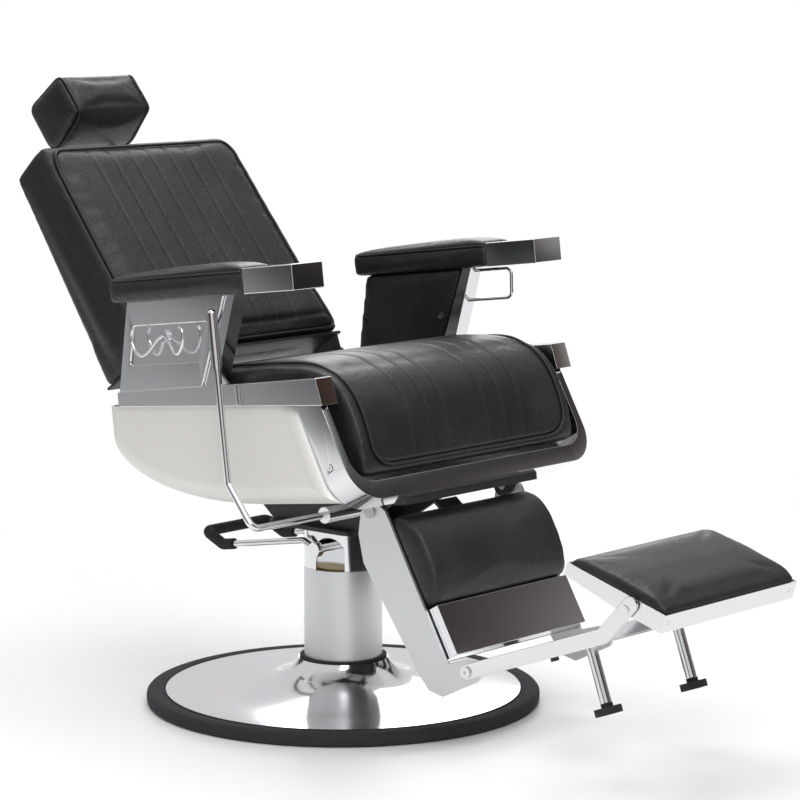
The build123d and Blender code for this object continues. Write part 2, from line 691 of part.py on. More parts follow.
# ================= front frame =================
FRONT_TOP = (RAIL_LOW_REAR - FACE_FOOT_RISE) / cos(radians(FACE_LEAN)) + FRONT_DEPTH
FRONT_FACE = face_plane(FACE_ORIGIN, FACE_TILT)
with BuildPart() as front_frame:
    with BuildSketch(FRONT_FACE):
        with Locations((0, FRONT_TOP)):
            RectangleRounded(2 * FRONT_HALF_WIDTH, 2 * FRONT_TOP, FRONT_CORNER)
        with Locations((0, FRONT_TOP + FRONT_SILL)):
            RectangleRounded(
                2 * (FRONT_HALF_WIDTH - FRONT_SIDE_WALL),
                2 * FRONT_TOP,
                FRONT_CORNER - FRONT_SIDE_WALL,
                mode=Mode.SUBTRACT,
            )
        with Locations((0, 2 * FRONT_TOP)):
            Rectangle(4 * FRONT_HALF_WIDTH, 2 * FRONT_TOP, mode=Mode.SUBTRACT)
    extrude(amount=-FRONT_DEPTH)
    with BuildSketch(side_plane(SEAT, SEAT_TILT, -2 * FRONT_HALF_WIDTH)):
        with BuildLine():
            Polyline(
                (2 * FACE_FOOT, rail_low(2 * FACE_FOOT)),
                (SHELL_REAR, rail_low(SHELL_REAR)),
                (SHELL_REAR, 2 * FRONT_TOP),
                (2 * FACE_FOOT, 2 * FRONT_TOP),
                close=True,
            )
        make_face()
    extrude(amount=4 * FRONT_HALF_WIDTH, mode=Mode.SUBTRACT)
    for screw_side in (-1, 1):
        with BuildSketch(side_plane(FACE_ORIGIN, FACE_TILT, screw_side * FRONT_HALF_WIDTH)):
            with Locations((FRONT_DEPTH * 0.6, FRONT_CORNER + 12.0)):
                Circle(BOLT_RADIUS)
        extrude(amount=-screw_side * FRONT_SIDE_WALL / 2, mode=Mode.SUBTRACT)
save(front_frame, "front_frame")

with BuildPart() as seat_screws:
    for screw_side in (-1, 1):
        with BuildSketch(side_plane(FACE_ORIGIN, FACE_TILT, screw_side * (FRONT_HALF_WIDTH + 1.5))):
            with Locations((FRONT_DEPTH * 0.6, FRONT_CORNER + 12.0)):
                Circle(BOLT_RADIUS - LOOSE_FIT)
        extrude(amount=-screw_side * (FRONT_SIDE_WALL / 2 + 1.5))
    socket_depth = 3.0
    for screw_side in (-1, 1):
        with BuildSketch(side_plane(FACE_ORIGIN, FACE_TILT, screw_side * (FRONT_HALF_WIDTH + 1.5))):
            with Locations((FRONT_DEPTH * 0.6, FRONT_CORNER + 12.0)):
                RegularPolygon((BOLT_RADIUS - LOOSE_FIT) / 2, 6)
        extrude(amount=-screw_side * socket_depth, mode=Mode.SUBTRACT)
save(seat_screws, "seat_screws")

# ================= seat cushion =================
CUSHION_PROUD = 6.0
with BuildPart() as seat_cushion:
    with BuildSketch(side_plane(SEAT, SEAT_TILT, -CUSHION_HALF_WIDTH)):
        with BuildLine():
            top_line = Spline(
                (CUSHION_REAR, rail_top(CUSHION_REAR) + CUSHION_PROUD),
                (0.0, CUSHION_CROWN - CUSHION_PROUD / 2),
                (CUSHION_SHOULDER, CUSHION_CROWN),
                CUSHION_NOSE,
                CUSHION_BROW,
                CUSHION_TOE,
                tangents=((-1, 0), (0, -1)),
            )
            Polyline(
                top_line @ 1,
                (face_rear(FRONT_SILL + 8.0, 6.0), FRONT_SILL + 8.0),
                (face_rear(FRONT_SILL + 8.0, FRONT_DEPTH - 8.0), FRONT_SILL + 8.0),
                (face_rear(CUSHION_BASE, FRONT_DEPTH - 8.0), CUSHION_BASE),
                (CUSHION_REAR, CUSHION_BASE),
                top_line @ 0,
            )
        make_face()
    extrude(amount=2 * CUSHION_HALF_WIDTH)
save(seat_cushion, "seat_cushion")


# ================= arms =================
def panel_outline(inset):
    """Corner points of the slanted arm side in the seat frame."""
    return (
        (PANEL_FRONT_FOOT + inset, rail_top(PANEL_FRONT_FOOT + inset)),
        (PANEL_REAR_FOOT - inset, rail_top(PANEL_REAR_FOOT - inset)),
        (PANEL_REAR_TOP - inset, ARM_BASE),
        (PANEL_FRONT_TOP + inset, ARM_BASE),
    )


def panel_point(front_margin, rear_margin, up):
    """Points on the arm side at a height, in from its front and rear edges by the two margins."""
    share_front = (up - rail_top(PANEL_FRONT_FOOT)) / (ARM_BASE - rail_top(PANEL_FRONT_FOOT))
    share_rear = (up - rail_top(PANEL_REAR_FOOT)) / (ARM_BASE - rail_top(PANEL_REAR_FOOT))
    front = PANEL_FRONT_FOOT + (PANEL_FRONT_TOP - PANEL_FRONT_FOOT) * share_front + front_margin
    rear = PANEL_REAR_FOOT + (PANEL_REAR_TOP - PANEL_REAR_FOOT) * share_rear - rear_margin
    return (front, up), (rear, up)


RECESS_LOW = rail_top(0) + RECESS_BORDER
RECESS_HIGH = ARM_BASE - RECESS_BORDER
RECESS = (
    *panel_point(RECESS_MARGIN, RECESS_MARGIN, RECESS_LOW),
    *reversed(panel_point(RECESS_MARGIN, RECESS_MARGIN, RECESS_HIGH)),
)
with BuildPart() as arm_panels:
    with BuildSketch(side_plane(SEAT, SEAT_TILT, PANEL_INNER)):
        with BuildLine():
            Polyline(*panel_outline(0.0), close=True)
        make_face()
    extrude(amount=PANEL_OUTER - PANEL_INNER)
    with BuildSketch(side_plane(SEAT, SEAT_TILT, PANEL_OUTER)):
        with BuildLine():
            Polyline(*RECESS, close=True)
        recess_face = make_face()
        fillet(recess_face.vertices(), RECESS_ROUND)
    extrude(amount=-RECESS_DEPTH, mode=Mode.SUBTRACT)
    mirror(about=Plane.YZ)
save(arm_panels, "arm_panels")

BUTTON_RADIUS = 6.0
BUTTON_HEIGHT = 3.0
BUTTON_MARGIN = 15.0
BUTTON_RISE = (rail_top(0) + ARM_BASE) / 2 - 8.0
BUTTON_SPOTS = panel_point(BUTTON_MARGIN, BUTTON_MARGIN, BUTTON_RISE)
for side_name, side in (("right", -1), ("left", 1)):
    with BuildPart() as inner_pad:
        with BuildSketch(side_plane(SEAT, SEAT_TILT, side * PANEL_INNER)):
            with BuildLine():
                Polyline(*panel_outline(1.0), close=True)
            make_face()
            with Locations(*BUTTON_SPOTS):
                Circle(BUTTON_RADIUS / 2, mode=Mode.SUBTRACT)
        extrude(amount=-side * INNER_PAD_THICKNESS)
    save(inner_pad, "inner_pad_" + side_name)

with BuildPart() as pad_buttons:
    for side in (-1, 1):
        for radius, start, length in (
            (BUTTON_RADIUS / 2, PANEL_INNER, INNER_PAD_THICKNESS),
            (BUTTON_RADIUS, PANEL_INNER - INNER_PAD_THICKNESS, BUTTON_HEIGHT),
        ):
            with BuildSketch(side_plane(SEAT, SEAT_TILT, side * start)):
                with Locations(*BUTTON_SPOTS):
                    Circle(radius)
            extrude(amount=-side * length)
save(pad_buttons, "pad_buttons")


def strut_front(up):
    """Rearward position of the strut's front edge at a height in the seat frame."""
    foot = rail_top(STRUT_FOOT)
    share = (up - foot) / (ARM_BASE - foot)
    foot_front = STRUT_FOOT - STRUT_WIDTH_FOOT
    return foot_front + (STRUT_TOP - STRUT_WIDTH_TOP - foot_front) * share


LOOP_HIGH = ARM_BASE - LOOP_RADIUS * 2
LOOP_LOW = LOOP_HIGH - LOOP_DROP
LOOP_X = (STRUT_INNER + STRUT_OUTER) / 2
LOOP_INSERT = 12.0
with BuildPart() as arm_struts:
    for side in (-1, 1):
        with BuildSketch(side_plane(SEAT, SEAT_TILT, side * STRUT_INNER)):
            with BuildLine():
                Polyline(
                    (STRUT_FOOT, rail_top(STRUT_FOOT)),
                    (STRUT_FOOT - STRUT_WIDTH_FOOT, rail_top(STRUT_FOOT - STRUT_WIDTH_FOOT)),
                    (STRUT_TOP - STRUT_WIDTH_TOP, ARM_BASE),
                    (STRUT_TOP, ARM_BASE),
                    close=True,
                )
            make_face()
        extrude(amount=side * (STRUT_OUTER - STRUT_INNER))
    for loop_up in (LOOP_HIGH, LOOP_LOW):
        y, z = frame_point(SEAT, SEAT_TILT, strut_front(loop_up) + LOOP_INSERT, loop_up)
        away = (0, -cos(radians(SEAT_TILT)), sin(radians(SEAT_TILT)))
        with BuildSketch(Plane(origin=(LOOP_X, y, z), z_dir=away)):
            Circle(LOOP_RADIUS + RUNNING_FIT)
        extrude(amount=2 * LOOP_INSERT, mode=Mode.SUBTRACT)
save(arm_struts, "arm_struts")

with BuildPart() as towel_loop:
    loop_front = strut_front(LOOP_HIGH) - LOOP_REACH
    loop_run = (
        (strut_front(LOOP_HIGH) + LOOP_INSERT, LOOP_HIGH),
        (loop_front, LOOP_HIGH),
        (loop_front + 5.0, LOOP_LOW),
        (strut_front(LOOP_LOW) + LOOP_INSERT, LOOP_LOW),
    )
    with BuildLine() as loop_line:
        FilletPolyline(*[(LOOP_X, *frame_point(SEAT, SEAT_TILT, r, u)) for r, u in loop_run], radius=11.0)
    with BuildSketch(Plane(origin=loop_line.line @ 0, z_dir=loop_line.line % 0)):
        Circle(LOOP_RADIUS)
    sweep(path=loop_line.line)
save(towel_loop, "towel_loop")

with BuildPart() as arm_blocks:
    for inset in (0.0, BLOCK_WALL):
        with BuildSketch(side_plane(SEAT, SEAT_TILT, ARM_INNER + inset)):
            with BuildLine():
                Polyline(
                    (ARM_FRONT + inset, ARM_BASE + inset),
                    (ARM_JOINT, ARM_BASE + inset),
                    (ARM_JOINT, ARM_BASE + BLOCK_HEIGHT - inset),
                    (ARM_FRONT + inset, ARM_BASE + BLOCK_HEIGHT - inset),
                    close=True,
                )
            make_face()
        extrude(amount=ARM_WIDTH - 2 * inset, mode=Mode.SUBTRACT if inset else Mode.ADD)
    mirror(about=Plane.YZ)
save(arm_blocks, "arm_blocks")

for side_name, side in (("right", -1), ("left", 1)):
    with BuildPart() as arm_pad:
        with BuildSketch(side_plane(SEAT, SEAT_TILT, side * (ARM_INNER - PAD_OVERHANG))):
            with BuildLine():
                Polyline(
                    (ARM_REAR, ARM_BASE),
                    (ARM_JOINT, ARM_BASE),
                    (ARM_JOINT, ARM_BASE + PAD_HEIGHT - 6.0),
                    (ARM_JOINT + 30.0, ARM_BASE + PAD_HEIGHT),
                    (ARM_REAR, ARM_BASE + PAD_HEIGHT - 8.0),
                    close=True,
                )
            pad_face = make_face()
            fillet(pad_face.vertices().sort_by(Axis.Y)[-1], 10.0)
        extrude(amount=side * (ARM_WIDTH + 2 * PAD_OVERHANG))
    save(arm_pad, "arm_pad_" + side_name)

HOOK_CENTRE = (HOOK_REAR, ARM_BASE - HOOK_DROP)
HOOK_START = 1.0


def hook_point(stand, spread, rise, reach):
    """Point of the hook's wire, standing off the arm side and spread towards one end."""
    y, z = frame_point(SEAT, SEAT_TILT, HOOK_CENTRE[0] + reach * spread, HOOK_CENTRE[1] + rise)
    return (-PANEL_OUTER - stand, y, z)


with BuildPart() as towel_hook:
    with BuildSketch(side_plane(SEAT, SEAT_TILT, -PANEL_OUTER + RECESS_DEPTH)):
        with Locations(HOOK_CENTRE):
            Circle(HOOK_PLATE_RADIUS)
    extrude(amount=-RECESS_DEPTH - 3.0)
    for reach in (1, -1):
        hook_run = (
            (HOOK_START, 0.0, 0.0),
            (HOOK_STAND * 0.5, HOOK_SPREAD * 0.38, -HOOK_DIP * 0.5),
            (HOOK_STAND * 0.9, HOOK_SPREAD * 0.78, -HOOK_DIP),
            (HOOK_STAND, HOOK_SPREAD, -HOOK_DIP * 0.65),
            (HOOK_STAND, HOOK_SPREAD, HOOK_TIP),
        )
        with BuildLine() as hook_line:
            Spline(*[hook_point(*place, reach) for place in hook_run])
        with BuildSketch(Plane(origin=hook_line.line @ 0, z_dir=hook_line.line % 0)):
            Circle(HOOK_RADIUS)
        sweep(path=hook_line.line)
save(towel_hook, "towel_hook")

# ================= hinges on the seat =================
with BuildPart() as recline_brackets:
    with BuildSketch(side_plane(SEAT, SEAT_TILT, BRACKET_INNER)):
        with BuildLine():
            Polyline(
                (SHELL_REAR - REAR_BAR_DEPTH, rail_low(SHELL_REAR - REAR_BAR_DEPTH)),
                (SHELL_REAR, rail_low(SHELL_REAR)),
                (PIVOT_REAR + EAR_RADIUS, PIVOT_RISE),
                (PIVOT_REAR - EAR_RADIUS, PIVOT_RISE),
                close=True,
            )
        make_face()
        with Locations((PIVOT_REAR, PIVOT_RISE)):
            Circle(EAR_RADIUS)
            Circle(PIVOT_PIN_RADIUS, mode=Mode.SUBTRACT)
    extrude(amount=BRACKET_THICKNESS)
    mirror(about=Plane.YZ)
save(recline_brackets, "recline_brackets")

with BuildPart() as hinge_pins:
    with BuildSketch(side_plane(BACK_PIVOT, 0, EAR_OUTER - EAR_THICKNESS)):
        Circle(PIVOT_PIN_RADIUS)
    extrude(amount=EAR_THICKNESS + SIDE_GAP + BRACKET_THICKNESS + 4.0)
    with BuildSketch(side_plane(LEG_PIVOT, 0, LUG_OUTER - EAR_THICKNESS)):
        Circle(LEG_PIN_RADIUS)
    extrude(amount=EAR_THICKNESS + 3.0 + LEG_PLATE_THICKNESS)
    with BuildSketch(side_plane(LEG_PIVOT, 0, LEG_PLATE_OUTER + LOOSE_FIT)):
        Circle(LEG_PIN_RADIUS + 4.0)
    extrude(amount=4.0)
    with BuildSketch(side_plane(LEG_PIVOT, 0, LEG_PLATE_OUTER)):
        Circle(LEG_PIN_RADIUS)
    extrude(amount=LOOSE_FIT)
    mirror(about=Plane.YZ)
save(hinge_pins, "hinge_pins")

with BuildPart() as recline_hub:
    with BuildSketch(Plane.YZ.offset(HUB_END)):
        with Locations((HUB_Y, HUB_Z)):
            Circle(HUB_RADIUS)
    extrude(amount=-HUB_END - UNDERFRAME_HALF_WIDTH)
    with BuildSketch(Plane.YZ.offset(HUB_END)):
        with Locations((HUB_Y, HUB_Z)):
            Circle(ROD_RADIUS + RUNNING_FIT)
    extrude(amount=HUB_BORE_DEPTH, mode=Mode.SUBTRACT)
save(recline_hub, "recline_hub")

ROD_RUN = (
    (HUB_END + HUB_BORE_DEPTH - 5.0, HUB_Y, HUB_Z),
    (ROD_X, HUB_Y, HUB_Z),
    (ROD_X, *ROD_KNEE),
    (ROD_X, *HANDLE_TOP),
)
with BuildPart() as recline_lever:
    with BuildLine() as rod_line:
        FilletPolyline(*ROD_RUN, radius=16.0)
    with BuildSketch(Plane(origin=rod_line.line @ 0, z_dir=rod_line.line % 0)):
        Circle(ROD_RADIUS)
    sweep(path=rod_line.line)
save(recline_lever, "recline_lever")

with BuildPart() as lever_handle:
    with BuildSketch(Plane(origin=rod_line.line @ 1, z_dir=-(rod_line.line % 1))):
        Circle(HANDLE_RADIUS)
        Circle(ROD_RADIUS, mode=Mode.SUBTRACT)
    extrude(amount=HANDLE_LENGTH)
    with BuildSketch(Plane(origin=rod_line.line @ 1, z_dir=rod_line.line % 1)):
        Circle(HANDLE_RADIUS)
    extrude(amount=HANDLE_RADIUS * 0.9)
    fillet(lever_handle.edges().sort_by(Axis.Z)[-1], HANDLE_RADIUS * 0.8)
save(lever_handle, "lever_handle")


# ================= backrest =================
def back_rear(up):
    """Rearward position of the back's rear face at a height in the back frame."""
    foot = BACK_FOOT_REAR + BACK_PLATE
    share = (up - foot) / (BACK_TOP_REAR - foot)
    return BACK_REAR_LOW + (BACK_REAR_HIGH - BACK_REAR_LOW) * share


def back_foot(rear):
    """Height of the back's lower face at a rearward position in the back frame."""
    share = (rear - BACK_FRONT_LOW) / (BACK_REAR_LOW - BACK_FRONT_LOW)
    return BACK_FOOT_FRONT + (BACK_FOOT_REAR - BACK_FOOT_FRONT) * share


with BuildPart() as back_cushion:
    with BuildSketch(side_plane(BACK_PIVOT, BACK_TILT, -BACK_HALF_LOW)):
        with BuildLine():
            Polyline(
                (BACK_FRONT_LOW, BACK_FOOT_FRONT + BACK_PLATE),
                (BACK_REAR_LOW, BACK_FOOT_REAR + BACK_PLATE),
                (BACK_REAR_HIGH, BACK_TOP_REAR),
                (BACK_FRONT_HIGH, BACK_TOP_FRONT),
                close=True,
            )
        back_face = make_face()
        fillet(back_face.vertices(), BACK_EDGE_ROUND)
    extrude(amount=2 * BACK_HALF_LOW)
    with BuildSketch(face_plane(BACK_PIVOT, BACK_TILT, 2 * BACK_REAR_LOW)):
        with BuildLine():
            Polyline(
                (-BACK_HALF_LOW, 0),
                (BACK_HALF_LOW, 0),
                (BACK_HALF_HIGH, BACK_TOP_FRONT),
                (-BACK_HALF_HIGH, BACK_TOP_FRONT),
                close=True,
            )
        outline = make_face()
        fillet(outline.vertices().sort_by(Axis.Z)[-2:], BACK_TOP_CORNER)
    extrude(amount=4 * BACK_REAR_LOW, mode=Mode.INTERSECT)
save(back_cushion, "back_cushion")

BOARD_MARGIN = 14.0
BOARD_FOOT = BACK_FOOT_REAR + 20.0
BOARD_TOP = BACK_TOP_REAR - 20.0
with BuildPart() as back_board:
    with BuildSketch(side_plane(BACK_PIVOT, BACK_TILT, -BACK_HALF_HIGH + BOARD_MARGIN)):
        with BuildLine():
            Polyline(
                (back_rear(BOARD_FOOT), BOARD_FOOT),
                (back_rear(BOARD_FOOT) + BACK_BOARD_THICKNESS, BOARD_FOOT),
                (back_rear(BOARD_TOP) + BACK_BOARD_THICKNESS, BOARD_TOP),
                (back_rear(BOARD_TOP), BOARD_TOP),
                close=True,
            )
        make_face()
    extrude(amount=2 * (BACK_HALF_HIGH - BOARD_MARGIN))
save(back_board, "back_board")

EAR_INNER = EAR_OUTER - EAR_THICKNESS
with BuildPart() as back_frame:
    with BuildSketch(side_plane(BACK_PIVOT, BACK_TILT, -EAR_OUTER)):
        with BuildLine():
            Polyline(
                (BACK_FRONT_LOW + 10.0, back_foot(BACK_FRONT_LOW + 10.0)),
                (BACK_REAR_LOW - 6.0, back_foot(BACK_REAR_LOW - 6.0)),
                (BACK_REAR_LOW - 6.0, back_foot(BACK_REAR_LOW - 6.0) + BACK_PLATE),
                (BACK_FRONT_LOW + 10.0, back_foot(BACK_FRONT_LOW + 10.0) + BACK_PLATE),
                close=True,
            )
        make_face()
    extrude(amount=2 * EAR_OUTER)
    for ear_x in (-EAR_OUTER, EAR_INNER):
        with BuildSketch(side_plane(BACK_PIVOT, BACK_TILT, ear_x)):
            with BuildLine():
                Polyline(
                    (-EAR_RADIUS, 0),
                    (EAR_RADIUS, 0),
                    (EAR_RADIUS * 2, back_foot(EAR_RADIUS * 2)),
                    (-EAR_RADIUS * 1.5, back_foot(-EAR_RADIUS * 1.5)),
                    close=True,
                )
            make_face()
            Circle(EAR_RADIUS)
            Circle(PIVOT_PIN_RADIUS + RUNNING_FIT, mode=Mode.SUBTRACT)
        extrude(amount=EAR_THICKNESS)
save(back_frame, "back_frame")

with BuildPart() as hinge_tube:
    with BuildSketch(side_plane(BACK_PIVOT, BACK_TILT, -EAR_INNER + LOOSE_FIT)):
        Circle(BACK_TUBE_RADIUS)
        Circle(BACK_TUBE_RADIUS - RAIL_WALL, mode=Mode.SUBTRACT)
    extrude(amount=2 * (EAR_INNER - LOOSE_FIT))
save(hinge_tube, "hinge_tube")

# ================= headrest =================
GUIDE_WALL = 4.0
BAR_REAR = HEAD_REAR + GUIDE_WALL
GUIDE_BASE = back_rear(GUIDE_FOOT) + BACK_BOARD_THICKNESS
with BuildPart() as headrest_guides:
    with BuildSketch(side_plane(BACK_PIVOT, BACK_TILT, BAR_SHIFT - BAR_WIDTH)):
        with BuildLine():
            Polyline(
                (back_rear(GUIDE_FOOT) + BACK_BOARD_THICKNESS, GUIDE_FOOT),
                (BAR_REAR + BAR_THICKNESS + GUIDE_WALL, GUIDE_FOOT),
                (BAR_REAR + BAR_THICKNESS + GUIDE_WALL, GUIDE_FOOT + GUIDE_HEIGHT),
                (back_rear(GUIDE_FOOT + GUIDE_HEIGHT) + BACK_BOARD_THICKNESS, GUIDE_FOOT + GUIDE_HEIGHT),
                close=True,
            )
        make_face()
    extrude(amount=2 * BAR_WIDTH)
    with BuildSketch(plan_plane(BACK_PIVOT, BACK_TILT, GUIDE_FOOT)):
        with Locations((BAR_SHIFT, BAR_REAR + BAR_THICKNESS / 2)):
            Rectangle(BAR_WIDTH + 4 * RUNNING_FIT, BAR_THICKNESS + 4 * RUNNING_FIT)
    extrude(amount=GUIDE_HEIGHT, mode=Mode.SUBTRACT)
    mirror(about=Plane.YZ)
save(headrest_guides, "headrest_guides")

RIVET_RADIUS = 3.0
RIVET_RISES = (HEAD_FOOT + 8.0, HEAD_FOOT + 28.0)
with BuildPart() as headrest_bars:
    with BuildSketch(plan_plane(BACK_PIVOT, BACK_TILT, BAR_FOOT)):
        with Locations((BAR_SHIFT, BAR_REAR + BAR_THICKNESS / 2)):
            Rectangle(BAR_WIDTH, BAR_THICKNESS)
    extrude(amount=BAR_TOP - BAR_FOOT)
    with BuildSketch(face_plane(BACK_PIVOT, BACK_TILT, BAR_REAR)):
        with Locations(*[(BAR_SHIFT, rise) for rise in RIVET_RISES]):
            Circle(RIVET_RADIUS)
    extrude(amount=-BAR_THICKNESS, mode=Mode.SUBTRACT)
    mirror(about=Plane.YZ)
save(headrest_bars, "headrest_bars")

with BuildPart() as headrest_rivets:
    with BuildSketch(face_plane(BACK_PIVOT, BACK_TILT, HEAD_REAR)):
        with Locations(*[(BAR_SHIFT, rise) for rise in RIVET_RISES]):
            Circle(RIVET_RADIUS)
    extrude(amount=-GUIDE_WALL - BAR_THICKNESS)
    with BuildSketch(face_plane(BACK_PIVOT, BACK_TILT, BAR_REAR + BAR_THICKNESS)):
        with Locations(*[(BAR_SHIFT, rise) for rise in RIVET_RISES]):
            Circle(RIVET_RADIUS * 1.7)
    extrude(amount=-RIVET_RADIUS / 2)
    mirror(about=Plane.YZ)
save(headrest_rivets, "headrest_rivets")

HEAD_ROUND = 40.0
with BuildPart() as headrest_pad:
    with BuildSketch(side_plane(BACK_PIVOT, BACK_TILT, -HEAD_HALF_WIDTH)):
        with BuildLine():
            Polyline(
                (HEAD_FRONT + 4.0, HEAD_FOOT + 18.0),
                (HEAD_REAR - 34.0, HEAD_FOOT),
                (HEAD_REAR, HEAD_FOOT),
                (HEAD_REAR, HEAD_TOP),
                (HEAD_FRONT + 6.0, HEAD_TOP),
                close=True,
            )
        head_face = make_face()
        fillet(head_face.vertices().sort_by(Axis.Y)[:2], HEAD_ROUND / 2)
        fillet(head_face.vertices().sort_by(Axis.Y)[-1], HEAD_ROUND)
    extrude(amount=2 * HEAD_HALF_WIDTH)
save(headrest_pad, "headrest_pad")

# ================= leg rest =================
LEG_OUTLINE = (
    (-19.0, 10.0),
    (-31.0, -12.0),
    (-29.0, -288.0),
    (FOOT_PIVOT_FRONT + 4.0, FOOT_PIVOT_DROP + 20.0),
    (FOOT_PIVOT_FRONT - 20.0, FOOT_PIVOT_DROP + 12.0),
    (FOOT_PIVOT_FRONT - 21.0, FOOT_PIVOT_DROP - 10.0),
    (FOOT_PIVOT_FRONT - 8.0, FOOT_PIVOT_DROP - 22.0),
    (8.0, -333.0),
    (31.0, -312.0),
    (36.0, -290.0),
    (58.0, -69.0),
    (44.0, -22.0),
    (19.0, 10.0),
)
LEG_PLATE_INNER = LEG_PLATE_OUTER - LEG_PLATE_THICKNESS
for side_name, side in (("right", -1), ("left", 1)):
    with BuildPart() as leg_plate:
        with BuildSketch(side_plane(LEG_PIVOT, LEG_TILT, side * LEG_PLATE_INNER)):
            with BuildLine():
                Polyline(*LEG_OUTLINE, close=True)
            leg_face = make_face()
            fillet(leg_face.vertices(), 7.0)
            Circle(LEG_PIN_RADIUS + RUNNING_FIT, mode=Mode.SUBTRACT)
            with Locations((FOOT_PIVOT_FRONT, FOOT_PIVOT_DROP)):
                Circle(FOOT_PIN_RADIUS, mode=Mode.SUBTRACT)
        extrude(amount=side * LEG_PLATE_THICKNESS)
    save(leg_plate, "leg_plate_" + side_name)

CALF_HALF = LEG_PLATE_INNER - 1.0
with BuildPart() as calf_pad:
    with BuildSketch(side_plane(LEG_PIVOT, LEG_TILT, -CALF_HALF)):
        with BuildLine():
            crown_line = Spline(
                (CALF_EDGE - 2.0, CALF_TOP),
                (CALF_CROWN + 8.0, CALF_TOP - 26.0),
                (CALF_CROWN, (CALF_TOP + CALF_FOOT) / 2 - 10.0),
                (CALF_CROWN + 8.0, CALF_FOOT + 26.0),
                (CALF_EDGE - 12.0, CALF_FOOT),
            )
            Polyline(crown_line @ 1, (CALF_REAR, CALF_FOOT), (CALF_REAR, CALF_TOP), crown_line @ 0)
        make_face()
    extrude(amount=2 * CALF_HALF)
save(calf_pad, "calf_pad")

TAB_HALF_WIDTH = 28.0
BOARD_REAR = CALF_REAR + BOARD_THICKNESS
with BuildPart() as calf_board:
    with BuildSketch(side_plane(LEG_PIVOT, LEG_TILT, -LEG_PLATE_INNER)):
        with BuildLine():
            Polyline(
                (CALF_REAR, CALF_TOP),
                (BOARD_REAR, CALF_TOP),
                (BOARD_REAR, KICK_FOOT),
                (CALF_REAR, KICK_FOOT),
                close=True,
            )
        make_face()
    extrude(amount=2 * LEG_PLATE_INNER)
    with BuildSketch(side_plane(LEG_PIVOT, LEG_TILT, -TAB_HALF_WIDTH)):
        with BuildLine():
            Polyline(
                (CALF_REAR, CALF_TOP),
                (CALF_REAR + BOARD_THICKNESS * 1.5, -5.0),
                (-4.0, -5.0),
                (BOARD_REAR, CALF_TOP),
                close=True,
            )
        make_face()
    extrude(amount=2 * TAB_HALF_WIDTH)
save(calf_board, "calf_board")

KICK_HALF = CALF_HALF - 2.0
with BuildPart() as kick_plate:
    for inset in (0.0, KICK_WALL):
        with BuildSketch(side_plane(LEG_PIVOT, LEG_TILT, -KICK_HALF + inset)):
            with BuildLine():
                Polyline(
                    (KICK_FACE + inset, CALF_FOOT - 2.0 - inset),
                    (CALF_REAR, CALF_FOOT - 2.0 - inset),
                    (CALF_REAR, KICK_FOOT + inset),
                    (KICK_FACE + inset, KICK_FOOT + inset),
                    close=True,
                )
            make_face()
        extrude(amount=2 * (KICK_HALF - inset), mode=Mode.SUBTRACT if inset else Mode.ADD)
save(kick_plate, "kick_plate")

ARM_IN = LEG_PLATE_OUTER + LEG_GAP
ARM_OUT = ARM_IN + ARM_BAR_THICKNESS
with BuildPart() as arm_pivot_bolts:
    with BuildSketch(side_plane(FOOT_PIVOT, 0, LEG_PLATE_INNER)):
        Circle(FOOT_PIN_RADIUS)
    extrude(amount=ARM_OUT + LOOSE_FIT - LEG_PLATE_INNER)
    with BuildSketch(side_plane(FOOT_PIVOT, 0, ARM_OUT + LOOSE_FIT)):
        Circle(FOOT_PIN_RADIUS + 3.5)
        RegularPolygon(FOOT_PIN_RADIUS / 2, 6, mode=Mode.SUBTRACT)
    extrude(amount=4.0)
    mirror(about=Plane.YZ)
save(arm_pivot_bolts, "arm_pivot_bolts")


# ================= footrest frame =================
def bar_between(start, end, width):
    """Round-ended flat bar outline from start to end, drawn in the current sketch."""
    run = Vector(*end) - Vector(*start)
    middle = (Vector(*start) + Vector(*end)) * 0.5
    with Locations((middle.X, middle.Y)):
        SlotCenterToCenter(run.length, width, rotation=degrees(atan2(run.Y, run.X)))


TIP_RUN = (Vector(PAD_PIVOT_FRONT, PAD_PIVOT_RISE) - Vector(ARM_BEND, 0)).normalized() * ARM_TIP_EXTRA
ARM_TIP = (PAD_PIVOT_FRONT + TIP_RUN.X, PAD_PIVOT_RISE + TIP_RUN.Y)
with BuildPart() as footrest_arms:
    with BuildSketch(side_plane(FOOT_PIVOT, ARM_TILT, ARM_IN)):
        bar_between((0, 0), (ARM_BEND, 0), ARM_BAR_WIDTH)
        bar_between((ARM_BEND, 0), ARM_TIP, ARM_BAR_WIDTH)
        Circle(FOOT_PIN_RADIUS + RUNNING_FIT, mode=Mode.SUBTRACT)
        with Locations((PAD_PIVOT_FRONT, PAD_PIVOT_RISE)):
            Circle(TRAY_PIN_RADIUS, mode=Mode.SUBTRACT)
    extrude(amount=ARM_BAR_THICKNESS)
    mirror(about=Plane.YZ)
save(footrest_arms, "footrest_arms")

with BuildPart() as footrest_crossbar:
    with BuildSketch(side_plane(FOOT_PIVOT, ARM_TILT, -ARM_IN)):
        with Locations((CROSSBAR_FRONT, 0)):
            Rectangle(CROSSBAR_SIZE, CROSSBAR_SIZE)
            Rectangle(CROSSBAR_SIZE - 2 * TRAY_WALL, CROSSBAR_SIZE - 2 * TRAY_WALL, mode=Mode.SUBTRACT)
    extrude(amount=2 * ARM_IN)
save(footrest_crossbar, "footrest_crossbar")

